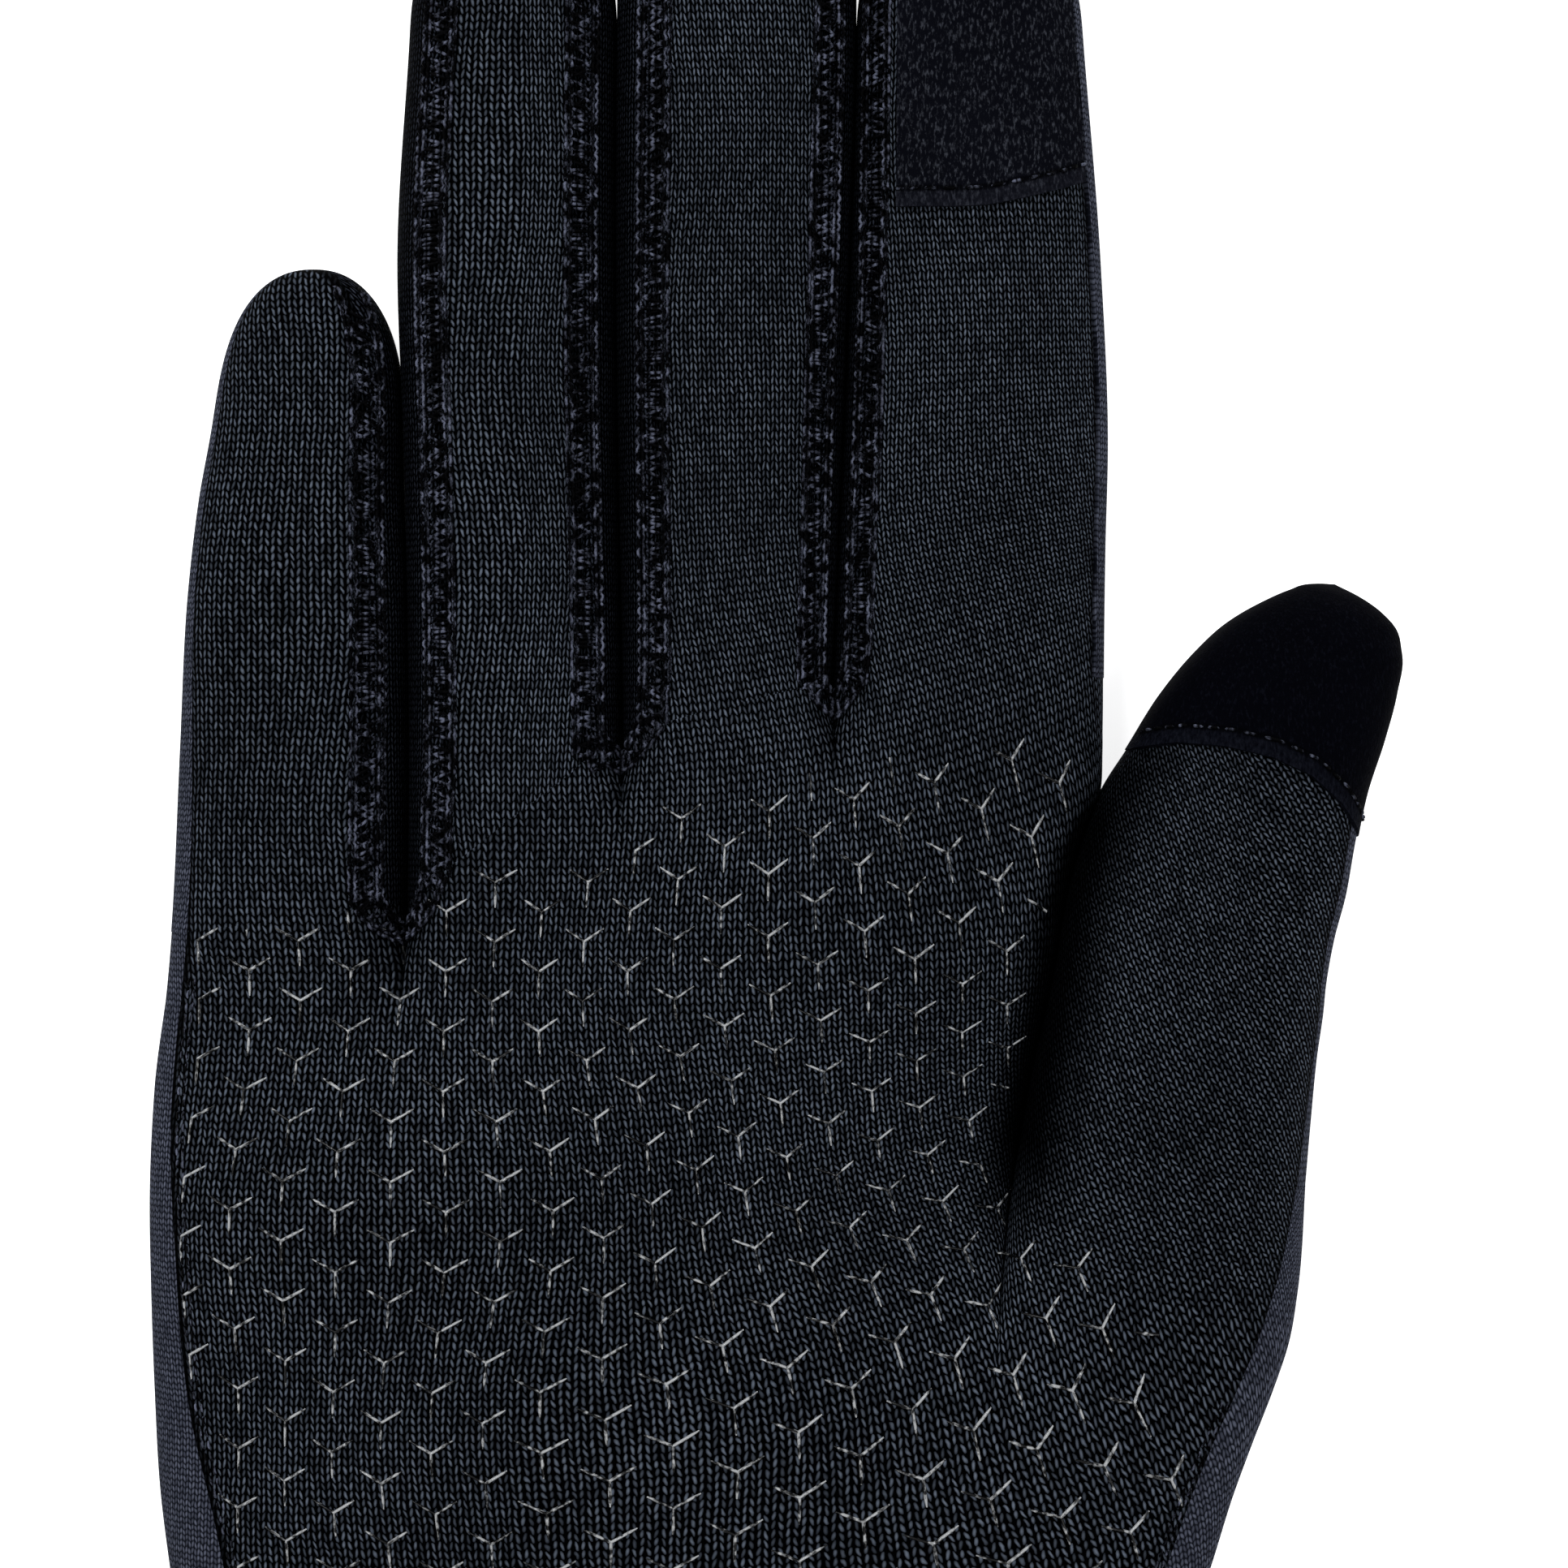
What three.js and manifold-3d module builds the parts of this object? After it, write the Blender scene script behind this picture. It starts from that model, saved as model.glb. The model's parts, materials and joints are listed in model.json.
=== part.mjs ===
// A touchscreen glove for the right hand, filled out as if worn and lying on its back, palm up.
// Millimetres, +Z up. The fingers point along +Y and the thumb lies on the +X side.
// The origin is on the table, under the middle of the palm.
import * as THREE from "three";
import { mergeVertices } from "three/addons/utils/BufferGeometryUtils.js";
import Module from "manifold-3d";

const wasm = await Module();
wasm.setup();

// Driving dimensions
const WALL = 1.2; // stretch knit with a brushed inside
const GAP = 0.3; // clearance between neighbouring pieces
const SINK = 0.8; // how far the round sleeves flatten against the table
const BEND_HALF = 6.5; // half the length of the sleeve that bends at a knuckle
const HINGE_LIFT = 2; // a knuckle's axis lies this far above the sleeve's centre
const FOURCHETTE_HALF = 5.4; // half the height of the strips between the fingers
const RING_POINTS = 24;
const TIP_STEPS = 4;

// Where one region ends and the next begins, along Y
const CUFF_END = -128;
const WRIST = -86;
const HEM_DEPTH = 14;
const ELASTIC_WIDTH = 8;
const BAND_THICKNESS = 1;
const KNUCKLE_LINE = 37.2; // top of the palm at the index and middle fingers
const RING_CROTCH = { x: -2.9, y: 31.7 }; // between the middle and ring fingers
const LITTLE_CROTCH = { x: -23.9, y: 15.7 }; // between the ring and little fingers

// Outline of the hand without fingers: its left and right sides and its half thickness.
const HAND = [
  { y: -132, left: -39.3, right: 38.2, tall: 17 },
  { y: -110, left: -38.2, right: 37.2, tall: 16.6 },
  { y: -92, left: -38, right: 37.6, tall: 16 },
  { y: -78, left: -40, right: 41.5, tall: 15.8 },
  { y: -64, left: -43.4, right: 48, tall: 15.6 },
  { y: -50, left: -46, right: 51.5, tall: 15.2 },
  { y: -36, left: -47.4, right: 46, tall: 14.8 },
  { y: -22, left: -48.1, right: 39.2, tall: 14.4 },
  { y: -10, left: -48.3, right: 36, tall: 13.8 },
  { y: 0, left: -47.8, right: 36.2, tall: 12.8 },
  { y: 10, left: -47, right: 38.2, tall: 11.6 },
  { y: 20, left: -46.4, right: 40.6, tall: 10.4 },
  { y: 28, left: -46.2, right: 43.4, tall: 9.6 },
  { y: 42, left: -45.8, right: 44.2, tall: 8.6 },
];

// The thumb's sleeve, from inside the ball of the thumb to where the tip starts to round.
const THUMB = {
  stations: [
    { x: 33, y: -66, half: 12.5, tall: 14.4 },
    { x: 41.5, y: -49, half: 14, tall: 14.8 },
    { x: 46.6, y: -32, half: 15, tall: 14.8 },
    { x: 49.6, y: -16, half: 14.3, tall: 14 },
    { x: 51.8, y: -4, half: 13.2, tall: 12.4 },
    { x: 53.8, y: 8, half: 12.9, tall: 11 },
    { x: 56.9, y: 20, half: 12.5, tall: 10 },
    { x: 60.5, y: 29.5, half: 11.7, tall: 9.4 },
    { x: 64.6, y: 36.6, half: 10, tall: 8.8 },
  ],
  tipLength: 11,
  power: 2.3,
  hinges: [
    { x: 52.2, y: -1, along: [0.2, 0.98] },
    { x: 57.6, y: 22.5, along: [0.36, 0.933] },
  ],
  patchEdge: 48.6, // the patch starts this far from the origin, measured along the second hinge
};

// The fingers. x: the sleeve's centre at its root, at mid length and at the tip's start.
const FINGERS = {
  index: {
    x: [31.3, 31.9, 32],
    y: [29, 76, 101],
    half: [12.5, 12, 11.2],
    tall: [8.8, 8.6, 8],
    tipLength: 14,
    hinges: [44, 68],
    fourchettes: ["inner"],
  },
  middle: {
    x: [7.8, 8.3, 8.7],
    y: [20, 78, 107],
    half: [10.3, 11, 10.4],
    tall: [9, 8.8, 8.2],
    tipLength: 14,
    hinges: [44, 70],
    fourchettes: ["inner", "outer"],
  },
  ring: {
    x: [-13.2, -13.8, -13.8],
    y: [4, 72, 101],
    half: [10, 10.1, 9.4],
    tall: [9.8, 8.4, 7.8],
    tipLength: 14,
    hinges: [38.5, 64],
    fourchettes: ["inner", "outer"],
  },
  little: {
    x: [-35.6, -34.8, -33.6],
    y: [-4, 44, 63.6],
    half: [10.8, 10, 9],
    tall: [11, 7.7, 7.2],
    tipLength: 13.6,
    hinges: [22.5, 46],
    fourchettes: ["outer"],
  },
};
const INDEX_PATCH = { edge: 82.8, inner: 24.4 };
const PATCH_THICKNESS = 0.8;

const knit = new THREE.MeshStandardMaterial({ color: 0x1b1e24, roughness: 0.85, metalness: 0 });
const suede = new THREE.MeshStandardMaterial({ color: 0x0d0e12, roughness: 0.95, metalness: 0 });
const elastic = new THREE.MeshStandardMaterial({ color: 0x16181c, roughness: 0.8, metalness: 0 });
const labelTape = new THREE.MeshStandardMaterial({ color: 0xc9c9c6, roughness: 0.7, metalness: 0 });

// A closed geometry through a row of rings, each a list of points, with both ends capped.
function loft(rings) {
  const count = rings[0].length;
  const positions = rings.flat().flatMap((p) => [p.x, p.y, p.z]);
  const faces = [];
  for (let r = 0; r + 1 < rings.length; r++) {
    for (let i = 0; i < count; i++) {
      const a = r * count + i;
      const b = r * count + ((i + 1) % count);
      faces.push(a, a + count, b, b, a + count, b + count);
    }
  }
  const last = (rings.length - 1) * count;
  for (let i = 1; i + 1 < count; i++) {
    faces.push(0, i, i + 1, last, last + i + 1, last + i);
  }
  const geometry = new THREE.BufferGeometry();
  geometry.setAttribute("position", new THREE.Float32BufferAttribute(positions, 3));
  geometry.setIndex(faces);
  return geometry;
}

function toSolid(geometry) {
  const merged = mergeVertices(geometry, 1e-4);
  return new wasm.Manifold(
    new wasm.Mesh({
      numProp: 3,
      vertProperties: merged.attributes.position.array,
      triVerts: new Uint32Array(merged.index.array),
    }),
  );
}

function toGeometry(solid) {
  const mesh = solid.getMesh();
  const geometry = new THREE.BufferGeometry();
  geometry.setAttribute("position", new THREE.BufferAttribute(mesh.vertProperties, 3));
  geometry.setIndex(new THREE.BufferAttribute(mesh.triVerts, 1));
  geometry.computeVertexNormals();
  return geometry;
}

const signedPower = (value, power) => Math.sign(value) * Math.abs(value) ** power;

// One superellipse ring: across is the unit vector of its width, level the height of its centre.
function ring(centre, across, half, tall, level, power) {
  return Array.from({ length: RING_POINTS }, (_, i) => {
    const angle = (2 * Math.PI * i) / RING_POINTS;
    const reach = half * signedPower(Math.cos(angle), 2 / power);
    return new THREE.Vector3(
      centre.x + across.x * reach,
      centre.y + across.y * reach,
      level + tall * signedPower(Math.sin(angle), 2 / power),
    );
  });
}

// A solid sleeve through stations of x, y, half and tall, smaller by inset all round.
// Its rings are square to Y, or to the sleeve's own direction when it curves.
function sleeve({ stations, power, tipLength = 0, curved = false, steps = 10 }, inset) {
  const spine = new THREE.CatmullRomCurve3(stations.map((s) => new THREE.Vector3(s.x, s.y, 0)));
  const size = new THREE.CatmullRomCurve3(stations.map((s) => new THREE.Vector3(s.half, s.tall, 0)));
  const directionAt = (t) => (curved ? spine.getTangent(t) : new THREE.Vector3(0, 1, 0));
  const rings = [];
  for (let i = 0; i <= steps; i++) {
    const t = i / steps;
    const along = directionAt(t);
    const across = new THREE.Vector3(along.y, -along.x, 0);
    const { x: half, y: tall } = size.getPoint(t);
    rings.push(ring(spine.getPoint(t), across, half - inset, tall - inset, tall - SINK, power));
  }
  const along = directionAt(1);
  const across = new THREE.Vector3(along.y, -along.x, 0);
  const { x: half, y: tall } = size.getPoint(1);
  for (let i = 1; i <= TIP_STEPS && tipLength > 0; i++) {
    const turn = (Math.PI / 2) * (i / (TIP_STEPS + 0.35));
    const shrink = Math.cos(turn) ** 0.85;
    const centre = spine.getPoint(1).addScaledVector(along, (tipLength - inset) * Math.sin(turn));
    rings.push(
      ring(centre, across, (half - inset) * shrink, (tall - inset) * shrink, tall - SINK, power),
    );
  }
  return toSolid(loft(rings));
}

// The sleeve as it lies: flat where it meets the table.
const lying = (shape, inset) => sleeve(shape, inset).trimByPlane([0, 0, 1], inset);

function slab(centre, size) {
  const geometry = new THREE.BoxGeometry(...size).translate(...centre);
  return toSolid(geometry.deleteAttribute("normal").deleteAttribute("uv"));
}

// Cuts. Each keeps the part of a solid on one side of a plane.
const above = (solid, z) => solid.trimByPlane([0, 0, 1], z);
const below = (solid, z) => solid.trimByPlane([0, 0, -1], -z);
const beyond = (solid, y) => solid.trimByPlane([0, 1, 0], y);
const before = (solid, y) => solid.trimByPlane([0, -1, 0], -y);
const rightOf = (solid, x) => solid.trimByPlane([1, 0, 0], x);
const leftOf = (solid, x) => solid.trimByPlane([-1, 0, 0], -x);

const glove = new THREE.Group();

// Adds one piece, without the slivers that the cuts leave beside it.
function add(name, solid, material) {
  const [piece] = solid.decompose().sort((a, b) => b.volume() - a.volume());
  const mesh = new THREE.Mesh(toGeometry(piece.simplify(0.03)), material.clone());
  mesh.name = name;
  glove.add(mesh);
}

const handShape = {
  stations: HAND.map(({ y, left, right, tall }) => ({
    x: (left + right) / 2,
    y,
    half: (right - left) / 2,
    tall,
  })),
  power: 2.6,
  steps: 20,
};

const fingerShape = (finger) => ({
  stations: finger.y.map((y, i) => ({
    x: finger.x[i],
    y,
    half: finger.half[i],
    tall: finger.tall[i],
  })),
  power: 2.4,
  tipLength: finger.tipLength,
  steps: 4,
});

// Everything to the left of and beyond one crotch.
function notch(crotch, inset) {
  const reach = 100;
  const x = crotch.x + inset - reach / 2;
  const y = crotch.y - inset + reach / 2;
  return slab([x, y, 0], [reach, reach, reach]);
}

// The hand's solid, stepped back at the crotches so that each finger starts clear of it.
function handBlock(inset) {
  const block = before(lying(handShape, inset), KNUCKLE_LINE - inset);
  return block.subtract(notch(LITTLE_CROTCH, inset)).subtract(notch(RING_CROTCH, inset));
}

const thumbShape = { ...THUMB, curved: true, steps: 11 };
const thumbOuter = lying(thumbShape, 0);
const thumbInner = lying(thumbShape, WALL);

// Cuts a solid square to the thumb, at a distance from one of its hinges.
function thumbPast(solid, hinge, distance) {
  const [x, y] = hinge.along;
  return solid.trimByPlane([x, y, 0], hinge.x * x + hinge.y * y + distance);
}
function thumbUpTo(solid, hinge, distance) {
  const [x, y] = hinge.along;
  return solid.trimByPlane([-x, -y, 0], -(hinge.x * x + hinge.y * y + distance));
}

// Palm, back and cuff: one hollow block with a stub for each finger and for the thumb.
const sleeves = Object.entries(FINGERS).map(([name, finger]) => ({
  name,
  ...finger,
  outer: lying(fingerShape(finger), 0),
  inner: lying(fingerShape(finger), WALL),
}));
let block = handBlock(0).add(thumbUpTo(thumbOuter, THUMB.hinges[0], -BEND_HALF - GAP));
let cavity = handBlock(WALL).add(thumbInner);
for (const { outer, inner, hinges } of sleeves) {
  block = block.add(before(outer, hinges[0] - BEND_HALF - GAP));
  cavity = cavity.add(inner);
}
const handShell = beyond(block.subtract(cavity), CUFF_END);

// The side seam between palm and back runs on the palm side, lower towards the fingers.
const SEAM = { atWrist: 23.8, atKnuckles: 11.6 };
const seamSlope = (SEAM.atWrist - SEAM.atKnuckles) / (KNUCKLE_LINE - WRIST);
const seamNormal = new THREE.Vector3(0, seamSlope, 1).normalize();
const seamOffset = seamNormal.dot(new THREE.Vector3(0, WRIST, SEAM.atWrist));
const hand = beyond(handShell, WRIST + GAP / 2);
const normal = seamNormal.toArray();
const reversed = seamNormal.clone().negate().toArray();
add("palm_panel", hand.trimByPlane(normal, seamOffset + GAP / 2), knit);
add("back_panel", hand.trimByPlane(reversed, -seamOffset + GAP / 2), knit);

// Cuff: two halves, the hem turned inside, the wrist's elastic and the sewn-in label.
const CUFF_SEAM = 16;
const cuff = before(handShell, WRIST - GAP / 2);
add("cuff_front", above(cuff, CUFF_SEAM + GAP / 2), knit);
add("cuff_back", below(cuff, CUFF_SEAM - GAP / 2), knit);
const lining = lying(handShape, WALL + GAP).subtract(lying(handShape, WALL + GAP + BAND_THICKNESS));
add("cuff_hem", before(beyond(lining, CUFF_END), CUFF_END + HEM_DEPTH), knit);
add("wrist_elastic", before(beyond(lining, WRIST - ELASTIC_WIDTH / 2), WRIST + ELASTIC_WIDTH / 2), elastic);
const LABEL = { width: 16, length: 20, thickness: 0.5, y: -102 };
const label = new THREE.Mesh(
  new THREE.BoxGeometry(LABEL.width, LABEL.length, LABEL.thickness),
  labelTape,
);
label.name = "size_label";
label.position.set(0, LABEL.y, WALL + GAP + LABEL.thickness / 2);
glove.add(label);

// Everything beside a sleeve between two heights: left of x on its inner side, right on its outer.
function besideSleeve(side, x, bottom, top) {
  const reach = 80;
  const centre = side === "inner" ? x - reach / 2 : x + reach / 2;
  return slab([centre, 0, (bottom + top) / 2], [reach, 400, top - bottom]);
}

// Panels of one rigid length of sleeve. Fourchettes are the strips on the sides that face
// another finger; where there is none, front and back meet at the sleeve's centre height.
// A finger's inner side faces the little finger, its outer side the thumb.
function panels(shell, { name, part, x, level, fourchettes }) {
  let front = above(shell, level + GAP / 2);
  let back = below(shell, level - GAP / 2);
  for (const side of fourchettes) {
    const shift = side === "inner" ? -GAP / 2 : GAP / 2;
    const strip = [level - FOURCHETTE_HALF, level + FOURCHETTE_HALF];
    const room = besideSleeve(side, x - shift, strip[0] - GAP, strip[1] + GAP);
    front = front.subtract(room);
    back = back.subtract(room);
    const fourchette = shell.intersect(besideSleeve(side, x + shift, ...strip));
    add(`${name}_${part}_fourchette_${side}`, fourchette, knit);
  }
  add(`${name}_${part}_front`, front, knit);
  add(`${name}_${part}_back`, back, knit);
}

for (const finger of sleeves) {
  const { name, outer, inner, hinges, x, tall } = finger;
  const shell = outer.subtract(inner);
  const [knuckle, joint] = hinges;
  const between = (from, to) => before(beyond(shell, from), to);
  const half = BEND_HALF - GAP / 2;
  add(`${name}_knuckle_bend`, between(knuckle - half, knuckle + half), knit);
  add(`${name}_joint_bend`, between(joint - half, joint + half), knit);
  const shared = { name, x: x[1], level: tall[1] - SINK, fourchettes: finger.fourchettes };
  const rigid = BEND_HALF + GAP;
  panels(between(knuckle + rigid, joint - rigid), { ...shared, part: "base" });
  panels(beyond(shell, joint + rigid), { ...shared, part: "tip" });
}

// Thumb: no fourchettes, so front and back meet at the sleeve's centre height.
const thumbShell = thumbOuter.subtract(thumbInner);
const [thumbKnuckle, thumbJoint] = THUMB.hinges;
const bendHalf = BEND_HALF - GAP / 2;
const rigidFrom = BEND_HALF + GAP;
const thumbRegions = {
  knuckle_bend: thumbUpTo(thumbPast(thumbShell, thumbKnuckle, -bendHalf), thumbKnuckle, bendHalf),
  base: thumbUpTo(thumbPast(thumbShell, thumbKnuckle, rigidFrom), thumbJoint, -rigidFrom),
  joint_bend: thumbUpTo(thumbPast(thumbShell, thumbJoint, -bendHalf), thumbJoint, bendHalf),
  tip: thumbPast(thumbShell, thumbJoint, rigidFrom),
};
const THUMB_SEAM = { base: 9.8, tip: 8.4 };
for (const [part, solid] of Object.entries(thumbRegions)) {
  const level = THUMB_SEAM[part];
  if (level === undefined) {
    add(`thumb_${part}`, solid, knit);
    continue;
  }
  add(`thumb_${part}_front`, above(solid, level + GAP / 2), knit);
  add(`thumb_${part}_back`, below(solid, level - GAP / 2), knit);
}

// Touch patches: a second layer over the pads of the index finger and the thumb.
function patchLayer(shape) {
  return sleeve(shape, -GAP - PATCH_THICKNESS).subtract(sleeve(shape, -GAP));
}
const indexLayer = patchLayer(fingerShape(FINGERS.index));
add(
  "index_touch_patch",
  above(rightOf(beyond(indexLayer, INDEX_PATCH.edge), INDEX_PATCH.inner), FINGERS.index.tall[1] + 1),
  suede,
);
const thumbLayer = above(patchLayer(thumbShape), THUMB_SEAM.tip + 1);
add(
  "thumb_touch_patch",
  thumbLayer.trimByPlane([...thumbJoint.along, 0], THUMB.patchEdge),
  suede,
);

export default glove;
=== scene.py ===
import json
import math
import bmesh
import bpy
import numpy as np
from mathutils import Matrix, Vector


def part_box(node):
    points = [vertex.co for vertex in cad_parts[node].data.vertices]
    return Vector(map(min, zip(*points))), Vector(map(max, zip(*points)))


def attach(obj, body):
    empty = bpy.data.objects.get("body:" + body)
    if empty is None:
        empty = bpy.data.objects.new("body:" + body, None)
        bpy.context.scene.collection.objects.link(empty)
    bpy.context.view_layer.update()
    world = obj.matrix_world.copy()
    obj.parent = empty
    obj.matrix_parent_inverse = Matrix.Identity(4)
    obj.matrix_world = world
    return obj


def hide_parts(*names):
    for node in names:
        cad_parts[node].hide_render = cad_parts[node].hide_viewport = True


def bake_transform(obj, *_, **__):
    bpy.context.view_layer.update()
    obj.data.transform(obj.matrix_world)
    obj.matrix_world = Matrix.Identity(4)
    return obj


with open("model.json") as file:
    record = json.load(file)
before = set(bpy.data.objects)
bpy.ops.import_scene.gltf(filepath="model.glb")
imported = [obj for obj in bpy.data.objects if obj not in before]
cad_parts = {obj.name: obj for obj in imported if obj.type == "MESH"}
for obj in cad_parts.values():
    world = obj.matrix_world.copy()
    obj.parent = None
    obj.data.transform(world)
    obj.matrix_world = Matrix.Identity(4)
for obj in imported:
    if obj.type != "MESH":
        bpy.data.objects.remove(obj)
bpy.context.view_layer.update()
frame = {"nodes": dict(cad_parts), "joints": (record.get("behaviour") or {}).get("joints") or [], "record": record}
scene = bpy.context.scene
hinges = {j["name"]: j for j in frame["joints"]}
print("frame loaded:", len(frame["nodes"]), "nodes")

# Shapes below are worked out in millimetres, with +Z out of the palm; meshes are written in metres.

cameraSetup = {"centre": (13.3, 26.7), "height": 437.4, "lens": 100}
camera = bpy.data.objects.new("camera", bpy.data.cameras.new("camera"))
camera.data.lens = cameraSetup["lens"]
camera.data.clip_start, camera.data.clip_end = 0.01, 20
camera.location = (*[v / 1000 for v in cameraSetup["centre"]], cameraSetup["height"] / 1000)
scene.collection.objects.link(camera)
scene.camera = camera
scene.view_settings.view_transform = "Standard"
print("camera ready")


def smooth(t):  # 3t^2 - 2t^3 between 0 and 1
    t = np.clip(t, 0, 1)
    return t * t * (3 - 2 * t)


def mix(a, b, share):
    return a + (b - a) * share


def through(knots, at):
    # A smooth curve through rows of (place, value, ...): cubic pieces with the neighbours' slopes.
    knots = np.array(knots, float)
    place, values = knots[:, 0], knots[:, 1:]
    slopes = np.gradient(values, place, axis=0)
    at = np.asarray(at, float)
    i = np.clip(np.searchsorted(place, at) - 1, 0, len(place) - 2)
    step = place[i + 1] - place[i]
    t = np.clip((at - place[i]) / step, 0, 1)[..., None]
    step = step[..., None]
    curve = (
        (2 * t**3 - 3 * t**2 + 1) * values[i]
        + (t**3 - 2 * t**2 + t) * step * slopes[i]
        + (3 * t**2 - 2 * t**3) * values[i + 1]
        + (t**3 - t**2) * step * slopes[i + 1]
    )
    return curve[..., 0] if curve.shape[-1] == 1 else np.moveaxis(curve, -1, 0)


def unit(vectors):
    return vectors / np.maximum(np.linalg.norm(vectors, axis=-1, keepdims=True), 1e-9)


def power(value, exponent):
    return np.sign(value) * np.abs(value) ** exponent


def dome(across, exponent=2.6):  # height of a superellipse over its half width, from 1 to 0
    return np.clip(1 - np.abs(np.clip(across, -1, 1)) ** exponent, 0, 1) ** (1 / exponent)


def makeMesh(name, points, faces, uv=None, tone=None):
    # points: N by 3 in millimetres; faces: M by 3 or 4; uv: N by 2 in millimetres of cloth; tone: N, painted shade as a
    # lightness, 0 in deep creases.
    mesh = bpy.data.meshes.new(name)
    corners = faces.shape[1]
    mesh.vertices.add(len(points))
    mesh.vertices.foreach_set("co", (np.asarray(points, float) / 1000).astype(np.float32).ravel())
    mesh.loops.add(faces.size)
    mesh.loops.foreach_set("vertex_index", faces.astype(np.int32).ravel())
    mesh.polygons.add(len(faces))
    mesh.polygons.foreach_set("loop_start", np.arange(0, faces.size, corners, dtype=np.int32))
    mesh.update(calc_edges=True)
    if uv is not None:
        layer = mesh.uv_layers.new(name="cloth")
        layer.data.foreach_set("uv", np.asarray(uv, float)[faces.ravel()].astype(np.float32).ravel())
    # The tone attribute holds painted shade: 1 in the open, down to 0 in deep creases.
    if tone is not None:
        mesh.attributes.new("tone", "FLOAT", "POINT").data.foreach_set("value", np.asarray(tone, np.float32).ravel())
    mesh.shade_smooth()
    piece = bpy.data.objects.new(name, mesh)
    scene.collection.objects.link(piece)
    return piece


def gridFaces(rows, columns, flip=False, closed=False):
    # Quads of a grid whose points are stored row by row; closed joins the last column to the first.
    r, c = np.meshgrid(np.arange(rows - 1), np.arange(columns if closed else columns - 1), indexing="ij")
    nextC = (c + 1) % columns
    quads = np.stack([r * columns + c, r * columns + nextC, (r + 1) * columns + nextC, (r + 1) * columns + c], -1)
    quads = quads.reshape(-1, 4)
    return quads if flip else quads[:, ::-1]


def joinGrids(grids):
    # grids: (points rows x columns x 3, uv rows x columns x 2, tone, flip). Gives one list of points and faces.
    points, uvs, tones, faces, start = [], [], [], [], 0
    for grid, uv, tone, flip in grids:
        rows, columns = grid.shape[:2]
        faces.append(gridFaces(rows, columns, flip) + start)
        points.append(grid.reshape(-1, 3))
        uvs.append(uv.reshape(-1, 2))
        tones.append((tone + np.zeros((rows, columns))).ravel())
        start += rows * columns
    return np.concatenate(points), np.concatenate(faces), np.concatenate(uvs), np.concatenate(tones)


def weld(piece, distance=0.002):
    # Merges points closer than distance, in millimetres, and drops the faces that collapse.
    work = bmesh.new()
    work.from_mesh(piece.data)
    bmesh.ops.remove_doubles(work, verts=work.verts, dist=distance / 1000)
    bmesh.ops.dissolve_degenerate(work, edges=work.edges, dist=1e-7)
    work.to_mesh(piece.data)
    work.free()
    mesh = piece.data
    mesh.shade_smooth()
    edgeOfCorner = np.zeros(len(mesh.loops), np.int32)
    mesh.loops.foreach_get("edge_index", edgeOfCorner)
    # crisp cut edges
    mesh.edges.foreach_set("use_edge_sharp", np.bincount(edgeOfCorner, minlength=len(mesh.edges)) == 1)
    return piece


def clothPiece(name, grids, material, thickness=0.9, weldAt=0.002):
    # A sheet of fabric from grids that share their edges, thickened inwards.
    points, faces, uv, tone = joinGrids(grids)
    piece = weld(makeMesh(name, points, faces, uv, tone), weldAt)
    piece.data.materials.append(material)
    if thickness:
        wall = piece.modifiers.new("wall", "SOLIDIFY")
        wall.thickness, wall.offset = thickness / 1000, -1
        wall.use_even_offset = False
    return piece


# shader tools
class Sock:
    # One value in a material; arithmetic on it adds Math nodes.
    def __init__(self, made, socket):
        self.made, self.socket = made, socket

    def math(self, operation, *others):
        return self.made.node("ShaderNodeMath", {"operation": operation}, dict(enumerate([self, *others])))

    def __add__(self, other):
        return self.math("ADD", other)

    def __mul__(self, other):
        return self.math("MULTIPLY", other)

    def __sub__(self, other):
        return self.math("SUBTRACT", other)

    def __rsub__(self, other):
        return (self * -1) + other

    def __truediv__(self, other):
        return self.math("DIVIDE", other)

    def __pow__(self, other):
        return self.math("POWER", other)

    __radd__, __rmul__ = __add__, __mul__

    def sin(self):
        return self.math("SINE")

    def floor(self):
        return self.math("FLOOR")

    def fract(self):
        return self.math("FRACT")

    def clamp(self):
        return self.made.node("ShaderNodeClamp", {}, {"Value": self})


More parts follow.
